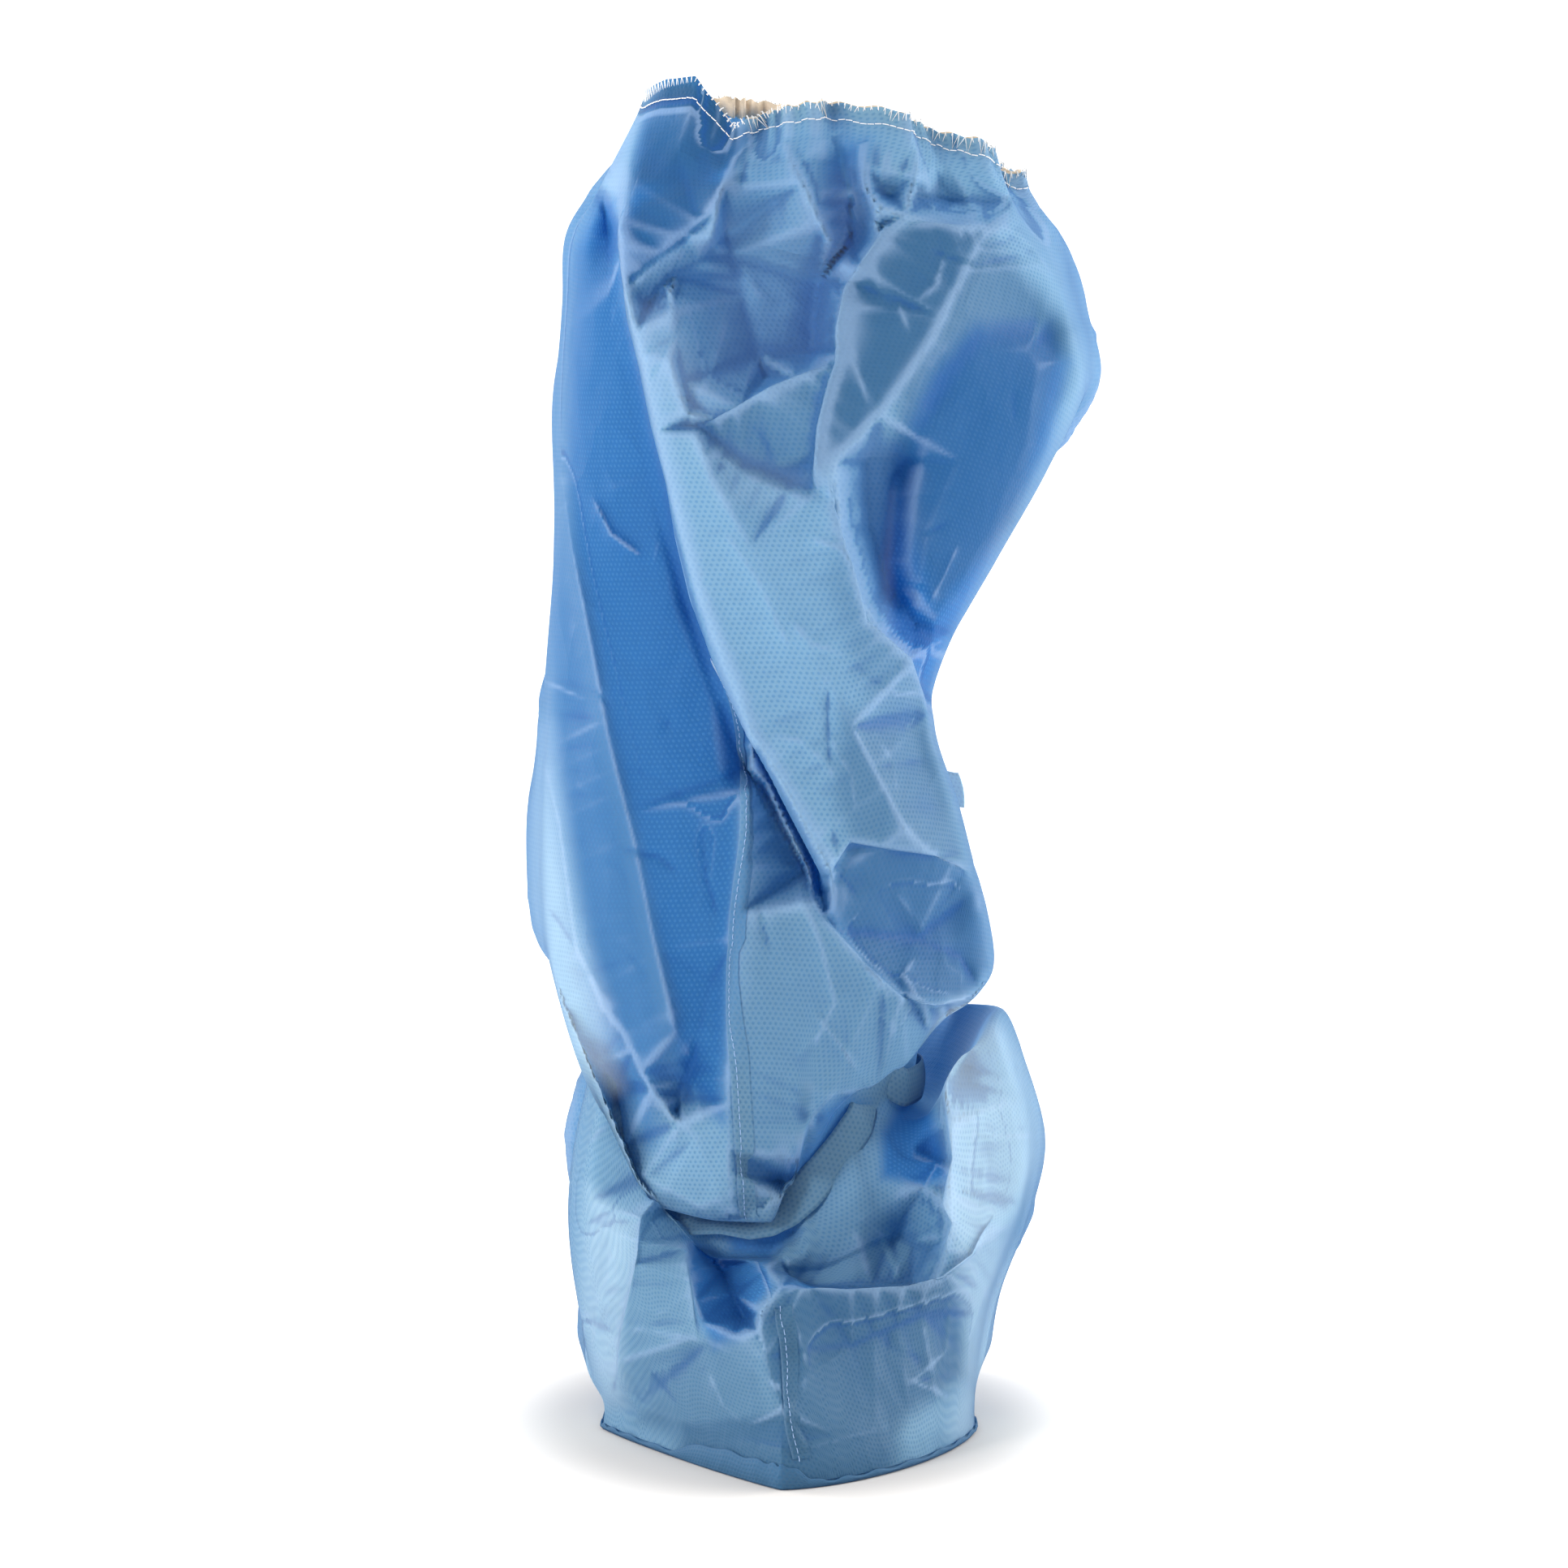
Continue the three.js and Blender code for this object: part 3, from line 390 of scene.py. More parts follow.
def fold_height(folds, at, across=1.0):
    total, weights = np.zeros(len(at)), np.full(len(at), REST_PULL)
    for out, soft, line in folds.values():
        distance = np.hypot(to_line(at, line, across)[0], 0.5 * soft + ROUND)
        weight = np.maximum(0, 1 / distance - 1 / REACH) ** POWER
        total += weight * out * STRENGTH
        weights += weight
    return total / weights


# %% [markdown]
# ## Flat facets
#
# This fabric doesn't bend softly between its folds. It is stretched flat between one fold line and the
# next, so the lines are joined up into triangles, each of them flat, and a map of their depths is kept at
# one point a mm. Most of the fabric's height in front comes from that map, and the rest from the rounded
# folds above.

# %% Flat facets between the fold lines
FACETED = 0.85  # how far the fabric is stretched flat between its fold lines, 0 being rounded
FACET_FADE, FACET_STRENGTH = (50, 78), 1.9  # degrees from the front, and of every fold's height
PANE = {"right": (-110, 111), "up": (0, 501)}  # in mm, at one point a mm


def spaced(line, step):
    """The points of a line with others between them, at most a step apart."""
    found = [line[0]]
    for a, b in zip(line[:-1], line[1:]):
        count = max(1, math.ceil(math.dist(a, b) / step))
        found += [tuple(lerp(np.array(a), np.array(b), k / count)) for k in range(1, count + 1)]
    return found


def facet_depths(folds, first, last, side=80, step=9):
    """How deep the flat facets lie at every mm of the pane: triangles between the fold lines and a border."""
    rows, columns = np.linspace(first, last, 120), np.radians(np.linspace(-85, 85, 120))
    t, angle = np.meshgrid(rows, columns, indexing="ij")
    base = rest_form(t, angle)
    base_at, base_y = drawn(base).reshape(-1, 2), base[..., 1].ravel()
    depth_at = lambda p: base_y[((base_at - p) ** 2).sum(axis=1).argmin()]
    points, edges, depths = [], [], []
    for out, _, line in folds.values():
        line = spaced(line, step)
        edges += [(len(points) + k, len(points) + k + 1) for k in range(len(line) - 1)]
        points += line
        depths += [depth_at(np.array(p)) - out * FACET_STRENGTH for p in line]
    rim_t, rim_a = np.linspace(first, last, 26), np.radians(np.linspace(-side, side, 15))
    for ts, angles in ((rim_t, rim_a[0]), (rim_t, rim_a[-1]), (first, rim_a), (last, rim_a)):
        border = rest_form(*np.broadcast_arrays(ts, angles))
        points += [tuple(p) for p in drawn(border)]
        depths += border[:, 1].tolist()
    corners, _, faces, origins, _, _ = delaunay_2d_cdt([Vector(p) for p in points], edges, [], 0, 0.01)
    nearest = lambda c: depths[int(((np.array(points) - tuple(c)) ** 2).sum(axis=1).argmin())]
    heights = [np.mean([depths[k] for k in o]) if o else nearest(c) for c, o in zip(corners, origins)]
    return facet_picture(np.array([tuple(c) for c in corners]), np.array(heights), faces)


def facet_picture(corners, heights, faces):
    picture = np.full((PANE["right"][1] - PANE["right"][0], PANE["up"][1] - PANE["up"][0]), np.nan)
    origin = np.array([PANE["right"][0], PANE["up"][0]])
    for face in faces:
        a, b, c = corners[list(face)] - origin
        low = np.maximum(np.floor(np.minimum(np.minimum(a, b), c)), 0).astype(int)
        high = np.minimum(np.ceil(np.maximum(np.maximum(a, b), c)), np.array(picture.shape) - 1).astype(int)
        x, y = np.meshgrid(np.arange(low[0], high[0] + 1), np.arange(low[1], high[1] + 1), indexing="ij")
        area = (b[0] - a[0]) * (c[1] - a[1]) - (b[1] - a[1]) * (c[0] - a[0])
        if abs(area) < 1e-6:
            continue
        v = ((x - a[0]) * (c[1] - a[1]) - (y - a[1]) * (c[0] - a[0])) / area
        w = ((b[0] - a[0]) * (y - a[1]) - (b[1] - a[1]) * (x - a[0])) / area
        covered = (v >= -0.001) & (w >= -0.001) & (v + w <= 1.001)
        ha, hb, hc = heights[list(face)]
        picture[x[covered], y[covered]] = (ha + v * (hb - ha) + w * (hc - ha))[covered]
    return picture


def facet_height(picture, points, at):
    """How far each point moves towards the eye to lie on the flat facets."""
    place = at - (PANE["right"][0], PANE["up"][0])
    cell = np.clip(np.floor(place), 0, np.array(picture.shape) - 2).astype(int)
    s = place - cell
    corner = lambda i, j: picture[cell[:, 0] + i, cell[:, 1] + j]
    low, high = (lerp(corner(0, j), corner(1, j), s[:, 0]) for j in (0, 1))
    depth = lerp(low, high, s[:, 1])
    return np.nan_to_num(points[:, 1] - depth, nan=0.0)


def blurred(grid, cells):
    """A grid of values, each the mean of those round it, within so many cells, twice over."""
    for _ in range(2):
        for axis in (0, 1):
            padded = np.pad(grid, [(cells + 1, cells) if k == axis else (0, 0) for k in (0, 1)], mode="edge")
            total = np.cumsum(padded, axis=axis)
            size = grid.shape[axis]
            high = np.take(total, range(2 * cells + 1, 2 * cells + 1 + size), axis=axis)
            grid = (high - np.take(total, range(size), axis=axis)) / (2 * cells + 1)
    return grid


LEG_FACETS = facet_depths(LEG_FOLDS, 1.3, NAMES.index("pouch_brim"))
FOOT_FACETS = facet_depths(FOOT_FOLDS, NAMES.index("rise") + 0.4, NAMES.index("lower") + 0.3)
covered = [int((~np.isnan(picture)).sum()) for picture in (LEG_FACETS, FOOT_FACETS)]
print("facets cover", covered[0], "and", covered[1], "mm2 of the pane")

# %% How creases and edges raise the fabric
CREASE_STRENGTH = 2.0  # of every crease's height


def crease_height(creases, at, across=1.0):
    total = np.zeros(len(at))
    for height, width, line in creases.values():
        distance, _, _, ends = to_line(at, line, across)
        total += CREASE_STRENGTH * height * np.exp(-distance / width) * smooth(0, 8, ends.min(axis=-1))
    return total


def edge_push(edges, at):
    """How far towards the eye, and how far across the pane."""
    out, across = np.zeros(len(at)), np.zeros((len(at), 2))
    step = lambda d, wide: np.tanh(d / 1.7) * np.exp(-np.abs(d) / wide)
    for height, over, wide, line in edges.values():
        probe = np.linspace(0, 6, 61)
        brim = (probe - over * step(probe, wide)).min()  # where the rolled edge is seen
        distance, away, side, ends = to_line(at, line)
        share = step(side * distance + brim, wide) * smooth(0, 12, ends.min(axis=-1))
        out += height * share
        across -= over * (share * side)[:, None] * away
    return out, across


# %% [markdown]
# ## Crumples
#
# Between its folds this fabric is full of small stray creases, because it is stiff for its thickness and
# was packed flat. They are scattered with a fixed seed, so that every run makes the same ones.

# %% Stray creases
CRUMPLE = {"front": 130, "round": 190, "length": (8, 36), "height": 0.5, "width": (1.2, 3.0)}
rng = np.random.default_rng(17)


def stray(count, x_range, up_range, across, name):
    found = {}
    for i in range(count):
        x, up = rng.uniform(*x_range), rng.uniform(*up_range)
        turn, length = rng.normal(-1.1, 0.7), rng.uniform(*CRUMPLE["length"]) / 2
        dx, dy = math.cos(turn) * length / across, math.sin(turn) * length
        bend = rng.uniform(-3, 3)
        line = [(x - dx, up - dy), (x + bend / across, up + bend), (x + dx, up + dy)]
        found[f"{name}_{i}"] = (rng.normal(0, CRUMPLE["height"]), rng.uniform(*CRUMPLE["width"]), line)
    return found


DEGREE = math.radians(1) * ROUND_RADIUS
STRAY = {
    "leg": stray(CRUMPLE["front"], (-80, 90), (100, 460), 1, "leg"),
    "foot": stray(CRUMPLE["front"] // 2, (-70, 80), (10, 150), 1, "foot"),
    "leg_round": stray(CRUMPLE["round"], (75, 285), (130, 440), DEGREE, "leg_round"),
    "foot_round": stray(CRUMPLE["round"] // 2, (75, 285), (12, 130), DEGREE, "foot_round"),
}
print(sum(map(len, STRAY.values())), "stray creases")

# %% [markdown]
# ## Gathers, ruffles and calm stretches
#
# The elastic draws the hem together into gathers that fade downwards, with small ruffles on them, all of
# which waves round the rim describe well. Two stretches of the leg hang calmly between their long creases,
# so the folds are lowered there.

# %% Gathers under the elastic, and the small ruffles of the hem
GATHERS = {"depth": 4.6, "count": 14, "fade": 60, "from": -35, "to": 255, "edge": 25}
RUFFLES = {"depth": 1.3, "count": 38, "fade": 22, "ragged": 0.5}


def gathered(angle):
    """1 where the hem is gathered, 0 where it is flat."""
    degrees = np.degrees(angle)
    turned = np.where(degrees < GATHERS["to"] - 360, degrees + 360, degrees)
    start, end, edge = GATHERS["from"], GATHERS["to"], GATHERS["edge"]
    return smooth(start, start + edge, turned) - smooth(end - edge, end, turned)


# How much higher the rim stands at each angle from the front
RIM_LIFT = np.array([
    (-180, -3), (-120, 2), (-80, 4), (-56, 9), (-38, 10), (-20, -7), (-8, -3),
    (6, 0), (30, 1), (70, 0), (82, -4), (100, -2), (130, -7), (180, -7),
], float).T


def gather_depth(angle, drop):
    wave = np.sin(GATHERS["count"] * angle + np.sin(3 * angle))
    deep = GATHERS["depth"] * wave * np.maximum(0, 1 - drop / GATHERS["fade"]) ** 1.5
    ripple = np.sin(RUFFLES["count"] * angle + 2 * np.sin(5 * angle) + 1.3 * np.sin(11 * angle))
    fine = RUFFLES["depth"] * ripple * np.maximum(0, 1 - drop / RUFFLES["fade"])
    return gathered(angle) * (deep + fine)


# %% Where the fabric hangs calmly: the share of the folds that is left, how soft the border is, and its line
CALM = {
    "left": (0.2, 8, [(-78, 400), (-55, 424), (-48, 383), (-39, 344), (-31, 305), (-18, 272), (-14, 245),
                      (-14, 217), (-17, 181), (-20, 150), (-36, 150), (-50, 200), (-62, 260), (-74, 340)]),
    "right": (0.35, 6, [(40, 341), (44, 360), (54, 380), (66, 394), (85, 394), (92, 385), (88, 356),
                        (76, 327), (62, 302), (52, 292), (42, 302), (38, 318)]),
}


def inside(at, polygon):
    x, y, odd = at[:, 0], at[:, 1], np.zeros(len(at), bool)
    for (ax, ay), (bx, by) in zip(polygon, polygon[1:] + polygon[:1]):
        crosses = (ay > y) != (by > y)
        odd ^= crosses & (x < ax + (y - ay) / (by - ay + 1e-12) * (bx - ax))
    return odd


def region_share(at, polygon, blur):
    """1 inside a region and 0 outside it, softly over its border."""
    distance = to_line(at, polygon + polygon[:1])[0]
    return smooth(-blur, blur, np.where(inside(at, polygon), distance, -distance))


def calmed(at):
    """The share of the folds that is left at each place."""
    share = np.ones(len(at))
    for left, blur, polygon in CALM.values():
        share *= lerp(1, left, region_share(at, polygon, blur))
    return share


# %% [markdown]
# ## The whole surface
#
# One function puts it all together: the plain form, then the folds, facets, edges and creases, the gathers,
# and the lift of the rim. The panels, the hem, the tie and the sole are all placed by it, so they fit each
# other.

# %% What shapes the leg and the foot
LEG = {
    "folds": LEG_FOLDS,
    "facets": LEG_FACETS,
    "creases": LEG_CREASES,
    "edges": LEG_EDGES,
    "stray": STRAY["leg"],
    "round_folds": LEG_ROUND_FOLDS,
    "round_stray": STRAY["leg_round"],
}
FOOT = {
    "folds": FOOT_FOLDS,
    "facets": FOOT_FACETS,
    "creases": FOOT_CREASES,
    "edges": FOOT_EDGES,
    "stray": STRAY["foot"],
    "round_folds": FOOT_ROUND_FOLDS,
    "round_stray": STRAY["foot_round"],
}

# %% The surface
RIM_LIFT_FADE = 30  # mm below the rim


def surface(t, angle):
    """The outer face of the cover at ring numbers t and angles, in mm."""
    t, angle = np.broadcast_arrays(np.asarray(t, float), np.asarray(angle, float))
    shape, t, angle = t.shape, t.ravel(), angle.ravel()
    point = rest_form(t, angle)
    degrees, leg = np.degrees(angle), t < (TIE_TOP + TIE_LOW) / 2
    loose = np.where(leg, smooth(1, 2.5, t) * smooth(1, 2.5, TIE_TOP - t), smooth(1, 2.5, t - TIE_LOW))
    share = loose * smooth(*FLOOR_FADE, point[:, 2])
    outward = unit(point * (1, 1, 0))
    to_eye = unit(EYE - point)
    front = share * (1 - smooth(*FRONT_FADE, np.abs(degrees)))
    back = share * smooth(*ROUND_FADE, np.abs(degrees))
    at, around = drawn(point), np.stack([degrees % 360, point[:, 2]], axis=-1)
    for mask, part in ((leg, LEG), (~leg, FOOT)):
        near = mask & (front > 0)
        out, across = edge_push(part["edges"], at[near])
        flat = FACETED * (1 - smooth(*FACET_FADE, np.abs(degrees[near])))
        rounded = fold_height(part["folds"], at[near])
        flattened = facet_height(part["facets"], point[near], at[near])
        out += calmed(at[near]) * lerp(rounded, flattened, flat)
        out += crease_height(part["creases"], at[near]) + crease_height(part["stray"], at[near])
        point[near] += (front[near] * out)[:, None] * to_eye[near]
        point[near] += front[near, None] * np.stack([across[:, 0], 0 * out, across[:, 1]], axis=-1)
        near = mask & (back > 0)
        out = fold_height(part["round_folds"], around[near], DEGREE)
        out = out + crease_height(part["round_stray"], around[near], DEGREE)
        point[near] += (back[near] * out)[:, None] * outward[near]
    drop = RINGS["z_mid"][0] - along("z_mid", t)
    point += gather_depth(angle, drop)[:, None] * outward
    ragged = RUFFLES["ragged"] * np.sin(61 * angle + 3 * np.sin(7 * angle))
    ragged = ragged * np.maximum(0, 1 - drop / RUFFLES["fade"])
    point[:, 2] += ragged * gathered(angle)
    point[:, 2] += np.interp(degrees, *RIM_LIFT) * np.maximum(0, 1 - drop / RIM_LIFT_FADE)
    return point.reshape(*shape, 3)


def turned(t, angle):
    """Columns near the front are turned so that angle 0 runs down the front seam."""
    return angle + np.radians(along("seam", t)) * (1 - np.abs(angle) / math.pi)


# %% [markdown]
# ## The mesh of a side panel
#
# Each panel is cut in one from the leg to the foot and runs from the back seam to the front seam. It is a
# grid of points on the surface, a single layer, because light shines through fabric this thin. The rows are
# spaced evenly down the cover, and the columns are closer together in front, where the drapes are.

# %% Even rows and columns
CELL = 1.35  # between two mesh rows
COLUMNS = {"front": 130, "back": 52}  # of each panel
FRONT_TO = math.radians(98)


def even_rows():
    t = np.linspace(0, LAST, 2000)
    sampled = np.radians([-60, -20, 10, 40, 120, -120])
    lines = np.stack([rest_form(t, turned(t, np.full_like(t, a))) for a in sampled])
    length = np.linalg.norm(np.diff(lines, axis=1), axis=-1).max(axis=0)
    run = np.concatenate([[0], np.cumsum(length)])
    return np.interp(np.linspace(0, run[-1], int(run[-1] / CELL)), run, t)


ROWS = even_rows()
HALF = np.concatenate([
    np.linspace(0, FRONT_TO, COLUMNS["front"], endpoint=False),
    np.linspace(FRONT_TO, math.pi, COLUMNS["back"]),
])
print(len(ROWS), "rows and", len(HALF), "columns a panel")


# %% From a grid of points to a mesh
def grid_faces(rows, columns, closed=False):
    i, j = np.meshgrid(np.arange(rows - 1), np.arange(columns if closed else columns - 1), indexing="ij")
    k = (j + 1) % columns
    above, below = i * columns, (i + 1) * columns
    return np.stack([above + j, above + k, below + k, below + j], axis=-1).reshape(-1, 4)


def new_object(name, points, faces, uv=None, smooth_shaded=True):
    mesh = bpy.data.meshes.new(name)
    corners = (np.asarray(points).reshape(-1, 3) * MM).tolist()
    mesh.from_pydata(corners, [], [list(map(int, f)) for f in faces])
    mesh.update()
    if uv is not None:
        layer = mesh.uv_layers.new(name="cloth")
        corner = np.zeros(len(mesh.loops), dtype=np.int32)
        mesh.loops.foreach_get("vertex_index", corner)
        layer.data.foreach_set("uv", (np.asarray(uv).reshape(-1, 2) * MM)[corner].ravel())
    if smooth_shaded:
        mesh.polygons.foreach_set("use_smooth", np.ones(len(mesh.polygons), dtype=bool))
    obj = bpy.data.objects.new(name, mesh)
    bpy.context.scene.collection.objects.link(obj)
    return obj


def paint(obj, name, values):
    attribute = obj.data.attributes.new(name, "FLOAT", "POINT")
    attribute.data.foreach_set("value", np.asarray(values, float).ravel())


# %% [markdown]
# ## Painted light and shade: where the fabric is deep, grey or glowing
#
# Light comes through this fabric, and how blue a place looks depends on how the light falls on it and on the
# layers behind it, which a single sheet doesn't have. So light and shade are painted: regions on the same
# upright pane, each with a strength and a soft border, are written to the mesh as numbers that the finish
# reads: painted back light and shade, painted greyish shade and a painted glow. They belong to the view
# from the front, and towards the back they fade into one plain value.

# %% Painted back light and shade, deep blue: how strongly, how soft the border is, and the border
BACKLIT_SHADE_REGIONS = {
    "left_side": (0.75, 7, [(-84, 330), (-78, 352), (-71, 322), (-66, 297), (-59, 259), (-50, 223),
                            (-44, 192), (-36, 157), (-45, 120), (-60, 150), (-68, 195), (-78, 250)]),
    "left_panel": (0.95, 5, [(-72, 424), (-63, 440), (-55, 440), (-55, 424), (-52, 399), (-48, 383),
                             (-44, 363), (-39, 344), (-36, 326), (-31, 305), (-23, 283), (-18, 272),
                             (-13, 261), (-14, 245), (-14, 217), (-17, 181), (-18, 150), (-20, 128),
                             (-36, 140), (-37, 165), (-44, 192), (-50, 223), (-59, 259), (-66, 297),
                             (-71, 322), (-74, 352), (-74, 391)]),
    "right_panel": (1.0, 5, [(38, 341), (42, 363), (52, 385), (65, 398), (85, 396), (96, 385), (90, 356),
                             (76, 327), (60, 294), (54, 275), (52, 265), (47, 276), (43, 286), (36, 293),
                             (35, 316)]),
    "hood": (1.0, 4, [(-45, 469), (-28, 476), (-16, 474), (-10, 465), (-15, 454), (-21, 438), (-31, 427),
                      (-44, 417), (-51, 411), (-53, 424), (-51, 443)]),
    "bowl": (0.3, 6, [(-21, 435), (-6, 462), (18, 465), (32, 460), (31, 432), (21, 411), (18, 387),
                      (10, 384), (-9, 378), (-23, 369), (-30, 365), (-45, 388), (-48, 405), (-31, 424)]),
    "bowl_deep": (0.6, 4, [(20, 457), (29, 460), (30, 435), (26, 418), (21, 410), (18, 396), (17, 387),
                           (10, 384), (6, 396), (7, 416), (12, 438), (14, 451)]),
    "slot": (1.0, 2, [(-13, 261), (-5, 245), (3, 230), (10, 216), (15, 205), (11, 204), (4, 215), (4, 220),
                      (-5, 234), (-12, 245)]),
    "lower_right": (0.55, 4, [(15, 205), (25, 222), (52, 218), (68, 208), (70, 190), (71, 180), (63, 169),
                              (41, 170), (29, 181), (21, 190), (12, 201)]),
    "pit": (0.9, 3, [(-33, 88), (-19, 82), (-5, 79), (-2, 70), (-8, 64), (-9, 55), (-23, 49), (-28, 63)]),
    "hollow_right": (0.9, 3, [(34, 123), (41, 136), (51, 131), (56, 108), (46, 106), (34, 108)]),
    "tie_hollow": (0.7, 4, [(10, 121), (14, 132), (23, 136), (30, 134), (21, 121), (6, 108), (-5, 107)]),
    "below_tie": (0.8, 3, [(-19, 90), (-10, 88), (3, 93), (6, 90), (-5, 79), (-17, 82)]),
    "under_spike": (0.9, 2, [(-1, 71), (10, 74), (32, 71), (32, 69), (10, 68), (-1, 69)]),
}

# %% Painted shade, greyish blue, where a face is turned from the light, in the same way
SHADED_REGIONS = {
    "left_side": (0.4, 7, [(-84, 330), (-78, 400), (-72, 424), (-55, 424), (-48, 383), (-39, 344),
                           (-31, 305), (-13, 261), (-14, 217), (-17, 181), (-18, 130), (-45, 120),
                           (-60, 150), (-68, 195), (-78, 250)]),
    "petal": (0.9, 4, [(21, 410), (34, 429), (49, 432), (69, 429), (60, 410), (46, 383), (24, 355),
                       (11, 345), (12, 363), (18, 385)]),
    "hood_low": (0.85, 4, [(-54, 424), (-52, 406), (-39, 421), (-23, 434), (-14, 448), (-30, 446),
                           (-48, 440)]),
    "hood": (1.0, 4, [(-45, 469), (-28, 476), (-16, 474), (-10, 465), (-15, 454), (-30, 440), (-51, 443)]),
    "bowl": (0.0, 5, [(-21, 435), (-6, 462), (50, 460), (62, 436), (34, 431), (21, 411), (18, 387),
                      (10, 384), (-9, 378), (-30, 365), (-34, 400)]),
    "brim": (0.6, 4, [(-29, 363), (18, 387), (11, 340), (-12, 347)]),
    "right_top": (0.75, 5, [(69, 429), (54, 412), (40, 383), (36, 350), (52, 300), (80, 330), (98, 396)]),
    "sash_right": (0.4, 5, [(18, 336), (21, 326), (29, 298), (44, 285), (52, 262), (58, 240), (40, 245),
                            (24, 280), (14, 310)]),
    "toe_tip": (0.8, 5, [(-36, 26), (8, 30), (40, 24), (40, -10), (8, -14), (-36, -6)]),
    "foot_left": (0.3, 5, [(-56, 30), (-54, 60), (-47, 90), (-36, 92), (-30, 66), (-28, 48), (-40, 30)]),
    "sash_low": (0.6, 6, [(20, 268), (50, 262), (60, 236), (66, 214), (52, 218), (24, 223), (18, 240)]),
    "facet": (0.7, 4, [(15, 205), (25, 222), (52, 218), (68, 208), (70, 190), (71, 180), (63, 169),
                       (41, 170), (29, 181)]),
    "pouch": (0.35, 6, [(-16, 200), (10, 200), (35, 174), (61, 167), (38, 133), (14, 134), (-5, 96),
                        (-19, 99)]),
    "left_low": (0.2, 5, [(-17, 195), (-18, 150), (-34, 160), (-40, 190)]),
    "toe_right": (0.78, 5, [(-1, 70), (43, 71), (60, 77), (64, 40), (39, 22), (7, 11), (-6, 38), (-9, 55)]),
    "toe_left": (0.55, 4, [(-9, 55), (-6, 38), (7, 11), (-31, 15), (-50, 24), (-30, 53)]),
    "shelf": (0.3, 4, [(-5, 78), (30, 104), (54, 104), (54, 75), (10, 71)]),
}

# %% A painted glow, where light comes through from behind, in the same way
LIT_REGIONS = {
    "right_lobe": (1.0, 5, [(52, 160), (54, 143), (58, 115), (54, 99), (57, 93), (60, 84), (76, 92),
                            (94, 120), (92, 140), (78, 158), (68, 170), (58, 168)]),
    "right_low": (0.9, 5, [(60, 80), (64, 60), (63, 40), (58, 20), (72, 18), (80, 60), (76, 95)]),
    "left_edge": (1.2, 7, [(-94, 270), (-94, 180), (-72, 150), (-56, 140), (-60, 165), (-69, 190),
                           (-72, 205), (-76, 235), (-80, 262)]),
    "foot_left": (0.8, 5, [(-66, 105), (-70, 60), (-64, 30), (-54, 30), (-55, 60), (-51, 92)]),
    "right_edge": (0.4, 6, [(104, 396), (90, 350), (72, 322), (62, 292), (66, 278), (84, 300), (100, 340),
                            (114, 400)]),
    "bowl": (0.1, 5, [(-26, 372), (-20, 430), (30, 455), (20, 400), (18, 388), (-9, 380)]),
    "chest": (0.2, 5, [(-26, 360), (8, 346), (2, 334), (-20, 338)]),
    "bowl_left": (0.3, 5, [(-30, 362), (-45, 388), (-48, 405), (-38, 405), (-22, 372)]),
    "right_strip": (0.2, 3, [(38, 341), (38, 300), (47, 276), (43, 286), (36, 293), (35, 316)]),
}

# %% From regions to painted light and shade on the mesh
PLAIN_BACKLIGHT, BEHIND_BACKLIGHT = 0.12, 0.45
SIDE_FADE = (-40, 30)  # the depths, in mm, between which the regions fade


def ridges(points, rest):
    """From -1 in the valleys to 1 on the crests: how far the surface stands out from what is round it.
    The finish paints a highlight on the crests and shade in the valleys from it.
    """
    moved = points - rest
    out = np.linalg.norm(moved, axis=-1) * np.sign((moved * (rest * (1, 1, 0))).sum(axis=-1))
    fine, broad = out - blurred(out, 1), out - blurred(out, 6)
    return np.clip(1.8 * fine + 0.12 * broad, -1, 1)


def painted_light(rest, regions, plain=0.0, behind_value=0.0):
    at = drawn(rest.reshape(-1, 3))
    value = np.full(len(at), plain)
    for deep, blur, polygon in regions.values():
        value = lerp(value, np.maximum(value, deep), region_share(at, polygon, blur))
    return lerp(value, behind_value, smooth(*SIDE_FADE, rest.reshape(-1, 3)[:, 1]))


def paint_light_and_shade(obj, rest):
    # Painted back light and shade, then painted greyish shade
    paint(obj, "painted_light", painted_light(rest, BACKLIT_SHADE_REGIONS, PLAIN_BACKLIGHT, BEHIND_BACKLIGHT))
    paint(obj, "shade", painted_light(rest, SHADED_REGIONS))


# %% The two side panels, with side -1 for the left one and 1 for the right one
def panel(name, side):
    t, angle = np.meshgrid(ROWS, side * HALF, indexing="ij")
    angle = turned(t, angle)
    rest, points = rest_form(t, angle), surface(t, angle)
    across = np.linalg.norm(np.diff(rest, axis=1), axis=-1)
    down = np.linalg.norm(np.diff(rest, axis=0), axis=-1)
    u = side * np.pad(np.cumsum(across, axis=1), ((0, 0), (1, 0)))
    v = -np.pad(np.cumsum(down, axis=0), ((1, 0), (0, 0)))
    faces = grid_faces(*t.shape)
    obj = new_object(name, points, faces if side < 0 else faces[:, ::-1], np.stack([u, v], axis=-1))
    # Painted back light and shade, and painted greyish shade
    paint_light_and_shade(obj, rest)
    # A painted glow where light comes through from behind
    paint(obj, "lit", painted_light(rest, LIT_REGIONS))
    # A painted highlight on the crests and painted shade in the valleys
    paint(obj, "ridge_shading", ridges(points, rest))
    print(name, len(obj.data.polygons) * 2, "triangles")
    return obj, points, t, angle


left = panel("panel_left", -1)[0]
right, right_points, right_t, right_angle = panel("panel_right", 1)
